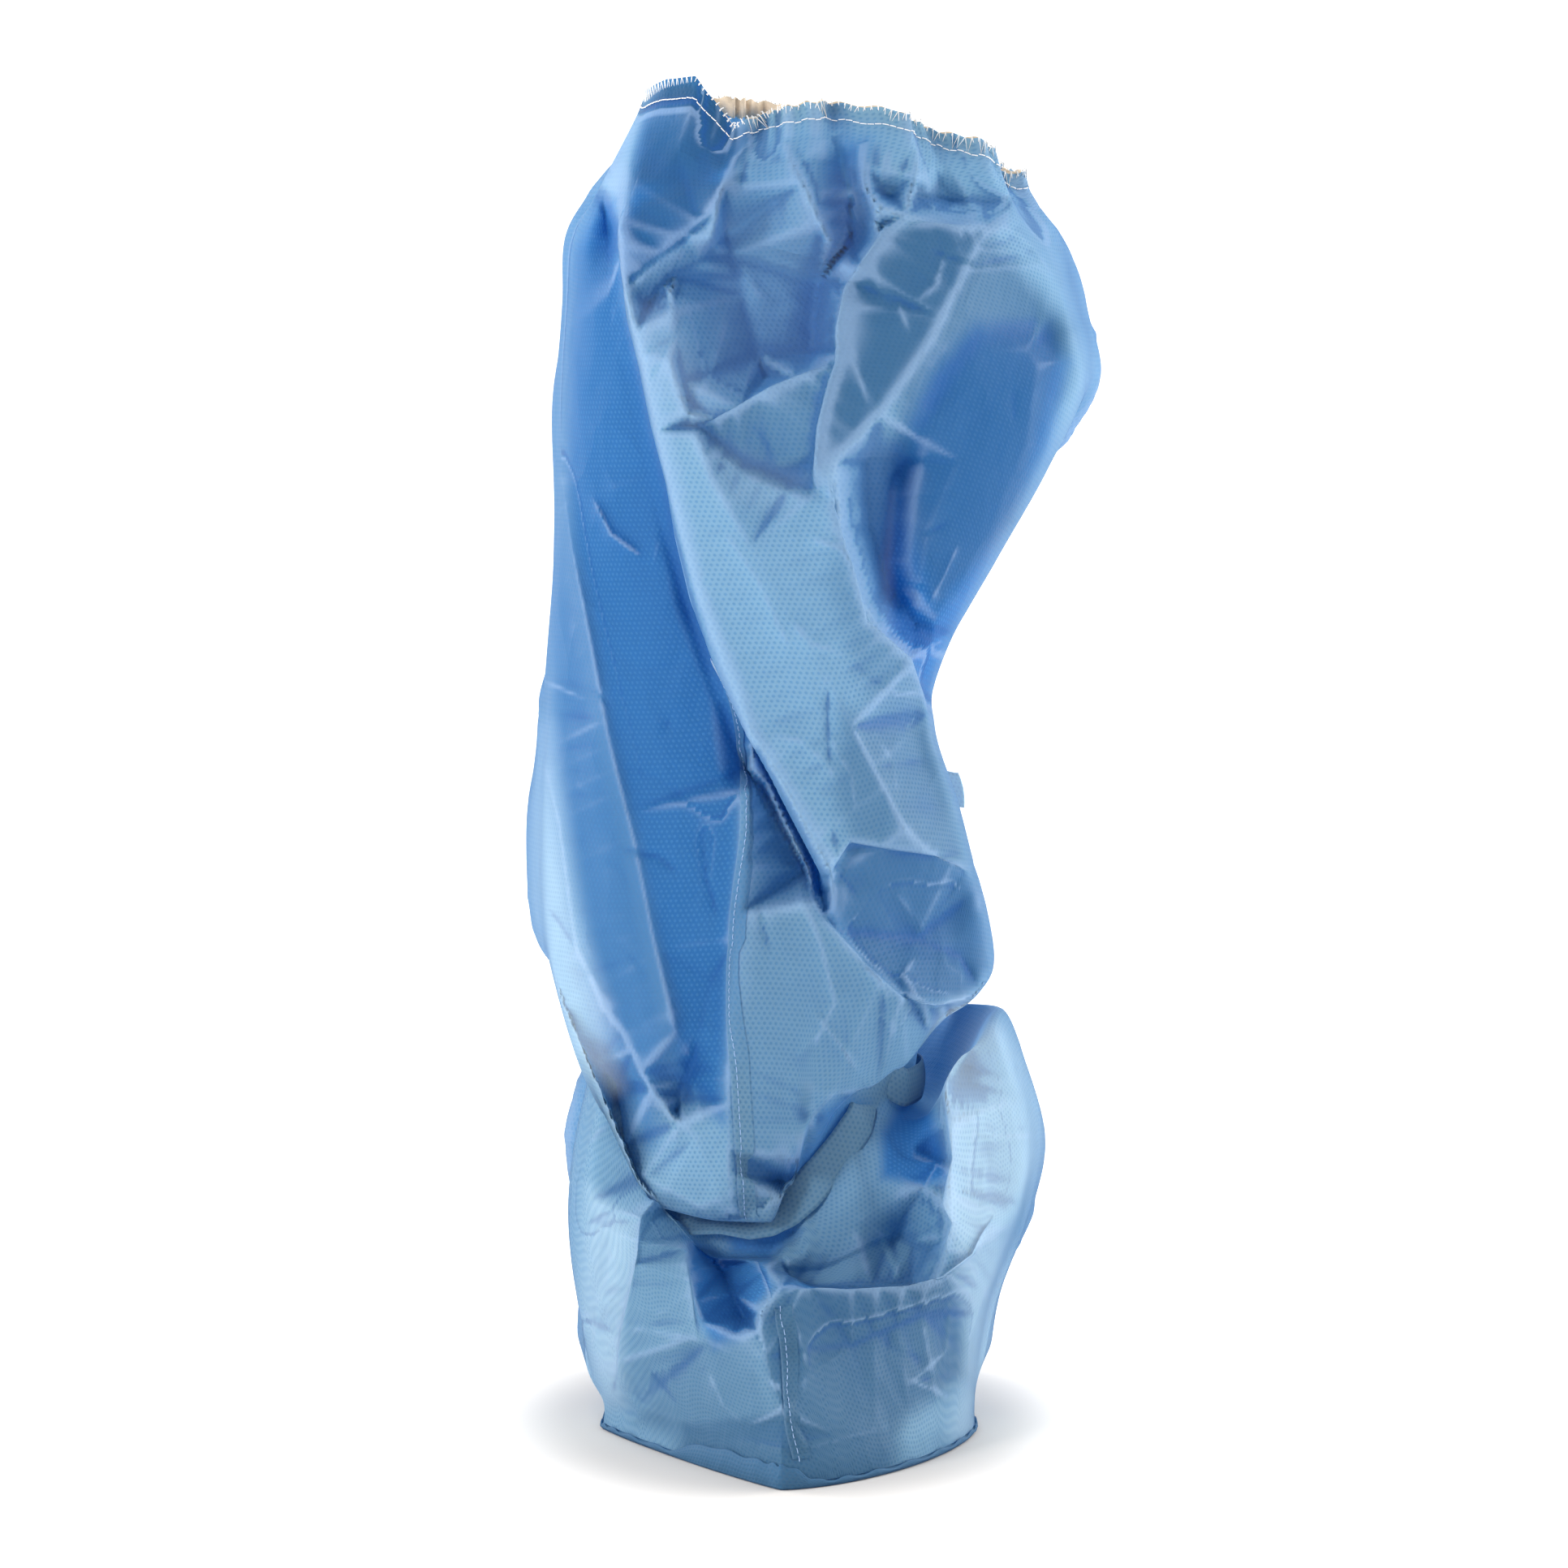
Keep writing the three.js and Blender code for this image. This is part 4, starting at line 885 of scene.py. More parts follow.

# %% [markdown]
# ## Finishes
#
# Shader maths reads best as plain expressions, so a small class wraps a socket and turns + - * / into Math
# nodes. The fabric is a smooth film on non-woven fibre, embossed with rows of small dots, and light passes
# through it. Its finish mixes a solid film with a translucent one and reads the painted numbers, all of
# them painted light and shade: deep for painted back light and shade, greyish for painted shade, ridge for a
# painted highlight on the crests and painted shade in the valleys, and glowing, the last of which adds a
# faint emission by hand as a painted glow.

# %% Expressions on sockets
class Value:
    def __init__(self, graph, socket):
        self.graph, self.socket = graph, socket

    def math(self, operation, *others, settings=()):
        inputs = {i: other for i, other in enumerate((self, *others))}
        return self.graph.node("ShaderNodeMath", {"operation": operation, **dict(settings)}, inputs)

    def __add__(self, other):
        return self.math("ADD", other)

    def __mul__(self, other):
        return self.math("MULTIPLY", other)

    def __sub__(self, other):
        return self.math("SUBTRACT", other)

    def __rsub__(self, other):
        return (self * -1).math("ADD", other)

    def __truediv__(self, other):
        return self.math("DIVIDE", other)

    __radd__, __rmul__ = __add__, __mul__

    def between(self, low, high):
        """0 at low and 1 at high, softly."""
        settings = {"interpolation_type": "SMOOTHSTEP"}
        inputs = {"Value": self, "From Min": low, "From Max": high}
        return self.graph.node("ShaderNodeMapRange", settings, inputs)


class Graph:
    def __init__(self, tree):
        self.tree = tree
        tree.nodes.clear()

    def node(self, kind, settings=(), inputs=(), output=0):
        """A node of this type: its settings are set first, then each input is linked or given its value."""
        node = self.tree.nodes.new(kind)
        for key, value in dict(settings).items():
            setattr(node, key, value)
        for key, value in dict(inputs).items():
            if isinstance(value, Value):
                self.tree.links.new(value.socket, node.inputs[key])
            else:
                node.inputs[key].default_value = value
        return Value(self, node.outputs[output]) if node.outputs else node

    def mix(self, share, a, b):
        settings = {"data_type": "RGBA"}
        colours = {0: share, 6: a, 7: b}
        return self.node("ShaderNodeMix", settings, colours, output=2)


def new_material(name):
    material = bpy.data.materials.new(name)
    material.use_nodes = True
    return material, Graph(material.node_tree)


# %% The fabric's finish
DOTS = {"pitch": 1.9 * MM, "radius": 0.26, "soft": 0.12}
# The film and its dots in two painted lights: lit from the front, and in shade with light through from behind
FRONT_LIT = {"film": (0.29, 0.50, 0.64, 1), "dot": (0.15, 0.33, 0.52, 1)}
BACK_LIT = {"film": (0.025, 0.18, 0.48, 1), "dot": (0.08, 0.30, 0.62, 1)}
THROUGH = {"pale": (0.17, 0.37, 0.55, 1), "deep": (0.03, 0.21, 0.56, 1)}
SHADE_GREY = (0.028, 0.10, 0.20, 1)
CREST_HIGHLIGHT, VALLEY_SHADE = (0.36, 0.52, 0.74, 1), (0.02, 0.09, 0.30, 1)
GLOW, LIT = (0.70, 0.86, 1.0, 1), (0.92, 1.0, 0.95, 1)


def dots(u, v):
    """1 on the embossed dots: rows of dots, each row set half a pitch along from the last."""
    row = v / (DOTS["pitch"] * 0.866)
    number = row.math("FLOOR")
    shift = number.math("PINGPONG", 1) * 0.5
    x = (u / DOTS["pitch"] + shift).math("FRACT") - 0.5
    y = (row - number - 0.5) * 0.866
    radius = (x * x + y * y).math("SQRT")
    return 1 - radius.between(DOTS["radius"] - DOTS["soft"], DOTS["radius"] + DOTS["soft"])


def painted(graph, name):
    """The number that the mesh carries under this name at each point."""
    return graph.node("ShaderNodeAttribute", {"attribute_name": name}, output=2)


def fabric(name):
    material, graph = new_material(name)
    uv = graph.node("ShaderNodeUVMap", {"uv_map": "cloth"})
    parts = graph.node("ShaderNodeSeparateXYZ", (), {0: uv})
    u, v = parts, Value(graph, parts.socket.node.outputs[1])
    dot = dots(u, v)
    deep, shadow, lit, ridge_shading = (painted(graph, key) for key in ("painted_light", "shade", "lit", "ridge_shading"))
    place = graph.node("ShaderNodeTexCoord", output=3)
    cloud = graph.node("ShaderNodeTexNoise", (), {"Vector": place, "Scale": 38.0, "Detail": 3.0})
    stretch = graph.node("ShaderNodeTexNoise", (), {"Vector": place, "Scale": 24.0, "Detail": 4.0}, output=1)
    drift = graph.node("ShaderNodeVectorMath", {"operation": "SCALE"}, {0: stretch, "Scale": 0.045})
    # The painted back light mixes the film's two painted lights
    film = graph.mix(deep, FRONT_LIT["film"], BACK_LIT["film"])
    mark = graph.mix(deep, FRONT_LIT["dot"], BACK_LIT["dot"])
    shade = graph.mix(dot * 0.8, film, mark)
    # Painted shade: greyish blue
    shade = graph.mix(shadow, shade, SHADE_GREY)
    # A painted highlight on the crests and painted shade in the valleys
    shade = graph.mix(ridge_shading.between(0.0, 1.4) * 0.6, shade, CREST_HIGHLIGHT)
    shade = graph.mix((ridge_shading * -1).between(0.0, 1.2) * 0.6, shade, VALLEY_SHADE)
    rib = ((u + v * 0.55) / (0.24 * MM)).math("SINE")
    shifted = graph.node("ShaderNodeVectorMath", {"operation": "ADD"}, {0: place, 1: drift})
    facets = graph.node("ShaderNodeTexVoronoi", {"feature": "F1"}, {"Vector": shifted, "Scale": 55.0})
    large = graph.node("ShaderNodeBump", (), {"Strength": 0.5, "Distance": 2.2 * MM, "Height": facets})
    small = {"Strength": 0.35, "Distance": 0.25 * MM, "Height": dot * -1 + rib * 0.05, "Normal": large}
    bump = graph.node("ShaderNodeBump", (), small)
    rough = 0.40 + dot * 0.18 + cloud * 0.1
    solid = graph.node("ShaderNodeBsdfPrincipled", (), {
        "Base Color": shade,
        "Roughness": rough,
        "Normal": bump,
        # A painted glow: a faint emission where the painted glow is set
        "Emission Color": graph.mix(lit, (0, 0, 0, 1), LIT),
        "Emission Strength": 0.42,
        "Specular IOR Level": 0.07,
    })
    # The painted back light also picks the deeper colour of the light through the fabric
    pale_through, deep_through = (
        graph.node("ShaderNodeBsdfTranslucent", (), {"Color": THROUGH[key], "Normal": bump})
        for key in ("pale", "deep")
    )
    through = graph.node("ShaderNodeMixShader", (), {0: deep, 1: pale_through, 2: deep_through})
    # In the painted shade less light comes through and the edges glow less
    cloth = graph.node("ShaderNodeMixShader", (), {0: 0.42 * (1 - shadow * 0.3), 1: solid, 2: through})
    facing = graph.node("ShaderNodeLayerWeight", (), {"Blend": 0.5}, output=1)
    pale = graph.node("ShaderNodeBsdfTranslucent", (), {"Color": GLOW})
    share = facing.math("POWER", 3.0) * 0.85 * (1 - deep * 0.8) * (1 - shadow * 0.7)
    both = graph.node("ShaderNodeMixShader", (), {0: share.between(0.0, 1.0), 1: cloth, 2: pale})
    graph.node("ShaderNodeOutputMaterial", (), {"Surface": both})
    return material


left.data.materials.append(fabric("fabric_left"))
right.data.materials.append(fabric("fabric_right"))

# %% [markdown]
# ## The hem
#
# A soft cream elastic is sewn inside the rim with an overlock stitch, whose white thread zigzags over the
# edge, and a needle line runs below it. The elastic is a thin band just inside the rim. Its upper edge
# peeps out between the ruffles.

# %% The elastic
ELASTIC = {"inside": 1.5, "thickness": 0.8, "height": 6.0, "proud": 0.4, "sunk": 2.5}  # sunk where it is flat


def plain_material(name, colour, roughness, bump_scale=0.0):
    material, graph = new_material(name)
    place = graph.node("ShaderNodeTexCoord", output=3)
    cloud = graph.node("ShaderNodeTexNoise", (), {"Vector": place, "Scale": 900.0, "Detail": 2.0})
    low = tuple(0.82 * c for c in colour[:3]) + (1,)
    bump = graph.node("ShaderNodeBump", (), {"Strength": 0.4, "Distance": bump_scale * MM, "Height": cloud})
    solid = graph.node("ShaderNodeBsdfPrincipled", (), {"Base Color": graph.mix(cloud, low, colour),
                                                       "Roughness": roughness, "Normal": bump})
    graph.node("ShaderNodeOutputMaterial", (), {"Surface": solid})
    return material


NEEDLE_RING = 0.85  # the ring number that the needle line runs at
round_angles = np.linspace(-math.pi, math.pi, 720, endpoint=False)
rim = surface(0.0, round_angles)
hem_line = surface(NEEDLE_RING, round_angles)


def band_loops(line, offsets):
    """Closed loops beside a line round the axis, each moved inwards and up."""
    inward = -unit(line * (1, 1, 0))
    return np.stack([line + inside_by * inward + (0, 0, up) for inside_by, up in offsets])


outer_face, top_edge, bottom_edge = ELASTIC["inside"], ELASTIC["proud"], -ELASTIC["height"]
inner_face = outer_face + ELASTIC["thickness"]
ruffle = 0.5 * np.sin(80 * round_angles + 2 * np.sin(9 * round_angles))
loops = band_loops(rim, [
    (outer_face, top_edge),
    (outer_face, bottom_edge),
    (inner_face, bottom_edge),
    (inner_face, top_edge),
])
loops += (ruffle[:, None] * unit(rim * (1, 1, 0)))[None]
loops[..., 2] -= ELASTIC["sunk"] * (1 - gathered(round_angles))
around_rim = len(rim)
closing = [[3 * around_rim + j, 3 * around_rim + (j + 1) % around_rim, (j + 1) % around_rim, j]
           for j in range(around_rim)]
elastic_faces = np.concatenate([grid_faces(4, around_rim, closed=True), closing])
elastic = new_object("elastic_band", loops, elastic_faces)
elastic.data.materials.append(plain_material("elastic_cream", (0.86, 0.70, 0.52, 1), 0.75, 0.3))
print("elastic:", len(elastic.data.polygons), "faces")

# %% [markdown]
# ## Stitches
#
# Every stitch is the same bit of thread, so one is modelled as a thin tube and Geometry Nodes puts copies
# of it along a line. The line carries the way out of the fabric at each point as an attribute, so each
# stitch lies flat on it.

# %% One stitch
def tube(points, radius, sides=6):
    """A round thread through the points, closed at its ends."""
    points = np.array(points, float)
    rings = []
    for i, point in enumerate(points):
        tangent = unit(points[min(i + 1, len(points) - 1)] - points[max(i - 1, 0)])
        first = unit(np.cross(tangent, (0.3, 0.5, 0.81)))
        second = np.cross(tangent, first)
        for k in range(sides):
            a = 2 * math.pi * k / sides
            rings.append(point + radius * (math.cos(a) * first + math.sin(a) * second))
    faces = grid_faces(len(points), sides, closed=True).tolist()
    end = (len(points) - 1) * sides
    faces += [list(range(sides)), list(range(end + sides - 1, end - 1, -1))]
    return np.array(rings), faces


def thread_object(name, points, radius):
    vertices, faces = tube(points, radius)
    obj = new_object(name, vertices, faces)
    bpy.context.scene.collection.objects.unlink(obj)
    return obj


# %% The tree that lays stitches along a line
def stitch_tree():
    tree = bpy.data.node_groups.new("stitches_along_a_line", "GeometryNodeTree")
    graph = Graph(tree)
    interface = tree.interface
    interface.new_socket("Line", in_out="INPUT", socket_type="NodeSocketGeometry")
    kinds = {"Stitch": "Object", "Pitch": "Float", "Wobble": "Float", "Seed": "Int", "Thread": "Material"}
    for name, kind in kinds.items():
        interface.new_socket(name, in_out="INPUT", socket_type=f"NodeSocket{kind}")
    interface.new_socket("Stitches", in_out="OUTPUT", socket_type="NodeSocketGeometry")
    given = tree.nodes.new("NodeGroupInput")
    inputs = {socket.name: Value(graph, socket) for socket in given.outputs if socket.name}
    curve = graph.node("GeometryNodeMeshToCurve", (), {"Mesh": inputs["Line"]})
    even = {"Curve": curve, "Length": inputs["Pitch"]}
    placed_at = graph.node("GeometryNodeResampleCurve", {"mode": "LENGTH"}, even)
    tangent = graph.node("GeometryNodeInputTangent")
    out = graph.node("GeometryNodeInputNamedAttribute", {"data_type": "FLOAT_VECTOR"}, {"Name": "out"})
    run = graph.node("FunctionNodeAlignEulerToVector", {"axis": "X"}, {"Vector": tangent})
    facing_out = {"axis": "Z", "pivot_axis": "X"}
    flat = graph.node("FunctionNodeAlignEulerToVector", facing_out, {"Rotation": run, "Vector": out})
    item = graph.node("GeometryNodeObjectInfo", (), {"Object": inputs["Stitch"]})
    item = Value(graph, item.socket.node.outputs["Geometry"])
    copies = {"Points": placed_at, "Instance": item, "Rotation": flat}
    placed = graph.node("GeometryNodeInstanceOnPoints", (), copies)
    turn = graph.node("FunctionNodeRandomValue", {"data_type": "FLOAT"},
                      {2: inputs["Wobble"] * -1, 3: inputs["Wobble"], "Seed": inputs["Seed"]}, output=1)
    spin = graph.node("ShaderNodeCombineXYZ", (), {"Z": turn})
    turned_round = graph.node("GeometryNodeRotateInstances", (), {"Instances": placed, "Rotation": spin})
    solid = graph.node("GeometryNodeRealizeInstances", (), {"Geometry": turned_round})
    finished = graph.node("GeometryNodeSetMaterial", (), {"Geometry": solid, "Material": inputs["Thread"]})
    result = tree.nodes.new("NodeGroupOutput")
    tree.links.new(finished.socket, result.inputs[0])
    return tree


STITCHES = stitch_tree()


def stitched(name, line, out, closed, **settings):
    """Stitches along a line of points, with the way out at each, as one plain mesh."""
    mesh = bpy.data.meshes.new(name + "_line")
    count = len(line)
    edges = [(i, (i + 1) % count) for i in range(count if closed else count - 1)]
    mesh.from_pydata((line * MM).tolist(), edges, [])
    mesh.attributes.new("out", "FLOAT_VECTOR", "POINT").data.foreach_set("vector", out.ravel())
    obj = bpy.data.objects.new(name, mesh)
    bpy.context.scene.collection.objects.link(obj)
    modifier = obj.modifiers.new("stitches", "NODES")
    modifier.node_group = STITCHES
    named = {item.name: item.identifier for item in STITCHES.interface.items_tree if item.in_out == "INPUT"}
    for key, value in settings.items():
        modifier[named[key.capitalize()]] = value
    evaluated = obj.evaluated_get(bpy.context.evaluated_depsgraph_get())
    plain = bpy.data.meshes.new_from_object(evaluated)
    obj.modifiers.clear()
    obj.data = plain
    print(name, len(plain.polygons), "faces")
    return obj


# %% The stitches of the hem
THREAD = plain_material("thread_white", (0.93, 0.93, 0.92, 1), 0.7)
out_of_rim = unit(rim * (1, 1, 0))
OVERLOCK = {"pitch": 2.3, "drop": 5.6, "thread": 0.17}
NEEDLE = {"pitch": 2.5, "thread": 0.19}
CLEAR = 0.25  # of a stitch's line from the fabric
half = 0.5 * OVERLOCK["pitch"]
over_edge = [
    (-half, 0.9, -0.6),
    (-half, 0.5, 0.1),
    (0, -OVERLOCK["drop"], 0.15),
    (half, 0.5, 0.1),
    (half, 0.9, -0.6),
]
zigzag = thread_object("overlock_stitch", over_edge, OVERLOCK["thread"])
straight = [(-1.0, 0, -0.15), (-0.8, 0, 0.1), (0, 0, 0.16), (0.8, 0, 0.1), (1.0, 0, -0.15)]
needle = thread_object("needle_stitch", straight, NEEDLE["thread"])
overlock = stitched("hem_overlock", rim + CLEAR * out_of_rim, out_of_rim, True, stitch=zigzag,
                    pitch=OVERLOCK["pitch"] * MM, wobble=0.12, seed=3, thread=THREAD)
needle_line = stitched("hem_needle_line", hem_line + CLEAR * out_of_rim, out_of_rim, True, stitch=needle,
                       pitch=NEEDLE["pitch"] * MM, wobble=0.08, seed=5, thread=THREAD)

# %% [markdown]
# ## The front seam
#
# The two panels are sewn together up the front with their edges turned to one side, which leaves a narrow
# double strip, a little raised, with a row of stitches in blue thread.

# %% The seam strip
SEAM = {"width": 6.5, "raised": 0.45, "columns": 7, "stitch_column": 2, "edge_highlight": 0.6}


def strip_on(points, rows):
    """A strip of the grid beside its first column, lifted off the surface along its normals."""
    down = np.gradient(points, axis=0)
    across = np.gradient(points, axis=1)
    normal = unit(np.cross(down, across))
    run = np.pad(np.cumsum(np.linalg.norm(np.diff(points, axis=1), axis=-1), axis=1), ((0, 0), (1, 0)))
    want = np.linspace(0, SEAM["width"], SEAM["columns"])
    lifted = points + SEAM["raised"] * normal
    strip = np.array([[[np.interp(w, run[i], lifted[i, :, k]) for k in range(3)] for w in want]
                      for i in rows])
    uv = np.array([[(w, -CELL * i) for w in want] for i in rows])
    return strip, uv, normal[rows, 0]


def ring_rows(start, end):
    return np.flatnonzero((ROWS >= start) & (ROWS <= end))


leg_rows = ring_rows(NAMES.index("hollow_mid"), NAMES.index("pouch_brim"))
toe_rows = ring_rows(NAMES.index("wide") + 1.0, NAMES.index("sole_edge"))
SEAM_FABRIC = fabric("fabric_seam")
strips, seam_stitches = [], []
blue_thread = plain_material("thread_blue", (0.33, 0.5, 0.78, 1), 0.7)
seam_stitch = thread_object("seam_stitch", [(-0.9, 0, -0.15), (0, 0, 0.12), (0.9, 0, -0.15)], 0.14)
for name, rows in (("seam_leg", leg_rows), ("seam_toe", toe_rows)):
    strip, uv, normal = strip_on(right_points, rows)
    obj = new_object(name, strip, grid_faces(*strip.shape[:2])[:, ::-1], uv)
    rest = np.repeat(rest_form(right_t[rows, :1], right_angle[rows, :1]) + (2, 0, 0), SEAM["columns"], axis=1)
    # Painted back light and shade, as on the panel beneath
    paint_light_and_shade(obj, rest)
    # A painted highlight along the seam strip's edge
    paint(obj, "ridge_shading", np.tile([SEAM["edge_highlight"], *np.zeros(SEAM["columns"] - 1)], (len(rows), 1)))
    obj.data.materials.append(SEAM_FABRIC)
    strips.append(obj)
    line = strip[:, SEAM["stitch_column"]] + 0.15 * normal
    seam_stitches.append(stitched(name + "_stitches", line, normal, False, stitch=seam_stitch, pitch=2.6 * MM,
                                  wobble=0.03, seed=7, thread=blue_thread))

# %% [markdown]
# ## The tie
#
# A tape of the same fabric goes round the ankle inside the pouch, shows where the pouch lifts in front, and
# is knotted behind with two free tails.

# %% The tie round the ankle
TIE = {"width": 12.5, "lift": 1.6, "thickness": 0.5, "curl": 0.9, "tucked": 13, "painted_light": 0.15, "shade": 0.12}
TIE_TUCK = (26, 36)  # mm right of the middle, where the tie goes in under the slack
TIE_FADE = (35, 62)  # degrees from the front, between which the drawn path gives way to the ankle's
# The tie's middle as it is drawn in front, and how much of its width shows, because it turns edge-on to the
# left
TIE_PATH = np.array([
    (-60, 96, 0.5), (-30, 92, 0.4), (-19, 92, 0.35), (-10, 91, 0.5), (-4, 93, 0.7), (2, 97, 0.85),
    (8, 103, 0.95), (14, 110, 1), (21, 119, 1), (29, 131, 1), (35, 146, 1), (40, 158, 1), (60, 160, 1),
], float).T
tie_angles = np.linspace(-math.pi, math.pi, 400, endpoint=False)


def ankle(angle):
    return (surface(float(TIE_TOP), angle) + surface(float(TIE_LOW), angle)) / 2


def tape(name, middle, across, lift, closed):
    """A flat tape along a middle line: a sheet with the given way across and way out at each point."""
    steps = np.linspace(-0.5, 0.5, 9)
    grid = middle[:, None] + TIE["width"] * steps[:, None] * across[:, None]
    curl = TIE["curl"] * (1 - (2 * steps) ** 2)
    grid = grid + curl[:, None] * lift[:, None]
    run = np.pad(np.cumsum(np.linalg.norm(np.diff(middle, axis=0), axis=-1)), (1, 0))
    uv = np.stack(np.broadcast_arrays(run[:, None], steps * TIE["width"]), axis=-1)
    faces = grid_faces(*grid.shape[:2])
    if closed:
        last, columns = (len(grid) - 1) * len(steps), len(steps)
        closing = [[last + j, last + j + 1, j + 1, j] for j in range(columns - 1)]
        faces = np.concatenate([faces, closing])
    obj = new_object(name, grid, faces, uv)
    solid = obj.modifiers.new("thickness", "SOLIDIFY")
    solid.thickness, solid.offset = TIE["thickness"] * MM, 0
    return obj


TAPE = fabric("fabric_tape")
middle = ankle(tie_angles)
outward = unit(middle * (1, 1, 0))
middle = middle + TIE["lift"] * outward
in_front = 1 - smooth(*TIE_FADE, np.abs(np.degrees(tie_angles)))
up_now = drawn(middle)
wanted = np.interp(up_now[:, 0], TIE_PATH[0], TIE_PATH[1])
middle[:, 2] += in_front * (wanted - up_now[:, 1])
tucked = TIE["tucked"] * smooth(*TIE_TUCK, up_now[:, 0])
middle = middle - (in_front * tucked)[:, None] * outward
slope = np.gradient(middle, axis=0)
down = unit(np.cross(unit(slope), outward))
seen = lerp(1, np.interp(up_now[:, 0], TIE_PATH[0], TIE_PATH[2]), in_front)
down = unit(down * seen[:, None] + outward * np.sqrt(1 - seen**2)[:, None])
tie = tape("tie_tape", middle, down, unit(np.cross(down, unit(slope))), True)
tie.data.materials.append(TAPE)
# The tie's painted back light and painted shade
for key in ("painted_light", "shade"):
    paint(tie, key, np.full(len(tie.data.vertices), TIE[key]))

# %% The tails of the tie: the ring, the degrees from the front, and how far off the fabric
TAILS = {
    "tail_right": [("tie_top", 164, 7), ("pouch_brim", 162, 7), ("pouch_low", 160, 5), ("pouch_top", 146, 3),
                   ("calf", 124, 4), ("calf", 106, 13)],
    "tail_left": [("tie_top", -164, 7), ("instep", -160, 7), ("upper", -158, 4), ("wide", -157, 3),
                  ("middle", -156, 4)],
}


def catmull_rom(points, count):
    points = np.array(points, float)
    t = np.linspace(0, len(points) - 1, count)
    i = np.minimum(t.astype(int), len(points) - 2)
    a, b, c, d = (points[np.clip(i + k, 0, len(points) - 1)] for k in (-1, 0, 1, 2))
    s = (t - i)[:, None]
    return b + 0.5 * s * (c - a + s * (2 * a - 5 * b + 4 * c - d + s * (3 * (b - c) + d - a)))


TAIL_GLOW = 0.7  # a tail hangs free, with light behind it
tails = []
for name, rows in TAILS.items():
    centre, normals = [], []
    for ring, degrees, lift in rows:
        t, a, step = NAMES.index(ring), math.radians(degrees), 0.02
        base, beside, below = surface([t, t, t + step], [a, a + step, a])
        normal = unit(np.cross(below - base, beside - base))
        centre.append(base + lift * normal)
        normals.append(normal)
    line, out = catmull_rom(centre, 60), unit(catmull_rom(normals, 60))
    across = unit(np.cross(unit(np.gradient(line, axis=0)), out))
    tail = tape(name, line, across, out, False)
    tail.data.materials.append(TAPE)
    # No painted back light on the tails, and a painted glow
    paint(tail, "painted_light", np.full(len(tail.data.vertices), 0.0))
    paint(tail, "lit", np.full(len(tail.data.vertices), TAIL_GLOW))
    tails.append(tail)

# %% The knot
KNOT = {"width": 22, "depth": 8, "height": 14, "lift": 6.0, "rise": 2}
KNOT_ROWS, KNOT_COLUMNS = 40, 64
behind = ankle(np.array([math.pi]))[0]
theta, phi = np.meshgrid(np.linspace(0.02, math.pi - 0.02, KNOT_ROWS),
                         np.linspace(0, 2 * math.pi, KNOT_COLUMNS, endpoint=False), indexing="ij")
groove = 0.08 * np.exp(-((np.cos(theta + 0.5 * np.sin(phi))) / 0.16) ** 2)
wrap = 1 + 0.07 * np.sin(5 * theta + 2 * phi) - groove
ball = np.stack([np.cos(theta), np.sin(theta) * np.cos(phi), np.sin(theta) * np.sin(phi)], axis=-1)
size = np.array([KNOT["width"], KNOT["depth"], KNOT["height"]])
knot_points = ball * wrap[..., None] * size / 2 + behind + (0, KNOT["lift"], KNOT["rise"])
knot_count = KNOT_ROWS * KNOT_COLUMNS
caps = [list(range(KNOT_COLUMNS)), list(range(knot_count - 1, knot_count - KNOT_COLUMNS - 1, -1))]
knot_faces = [*grid_faces(KNOT_ROWS, KNOT_COLUMNS, closed=True).tolist(), *caps]
knot = new_object("knot", knot_points, knot_faces, np.stack([theta * 10, phi * 5], axis=-1))
knot.data.materials.append(TAPE)
# No painted back light on the knot
paint(knot, "painted_light", np.zeros(knot_count))

# %% [markdown]
# ## The sole
#
# The sole is one flat panel, with its edge turned up round the foot and sewn over the lower edge of the
# side panels. The edge stands highest round the toe.

# %% The sole panel
SOLE = {"floor": 1.5, "edge": 2.0, "toe_edge": 8.0, "gap": 0.4, "fabric": 0.6, "painted_light": 0.5, "shade": 0.6}
TOE_EDGE = {"at": -22, "fade": (18, 34)}  # in degrees: the middle of the high edge, and where it ends
SOLE_COLUMNS = 360
sole_angles = np.linspace(-math.pi, math.pi, SOLE_COLUMNS, endpoint=False)
corner = surface(float(LAST), turned(np.full(SOLE_COLUMNS, float(LAST)), sole_angles))
step = np.roll(corner, -1, axis=0) - np.roll(corner, 1, axis=0)
outward = unit(np.stack([step[:, 1], -step[:, 0], 0 * step[:, 0]], axis=-1))
from_toe = np.degrees(sole_angles) - TOE_EDGE["at"]
edge = lerp(SOLE["toe_edge"], SOLE["edge"], smooth(*TOE_EDGE["fade"], np.abs(from_toe)))
edge = edge + 0.5 * np.sin(37 * sole_angles + 2 * np.sin(4 * sole_angles))


def sole_loop(offset, height):
    loop = corner + offset * outward
    loop[:, 2] = height
    return loop


def towards_middle(share, height):
    """The inner loop at this height, drawn in towards the middle of the foot."""
    return (sole_loop(near, height) - middle_of_foot) * (share, share, 1) + middle_of_foot


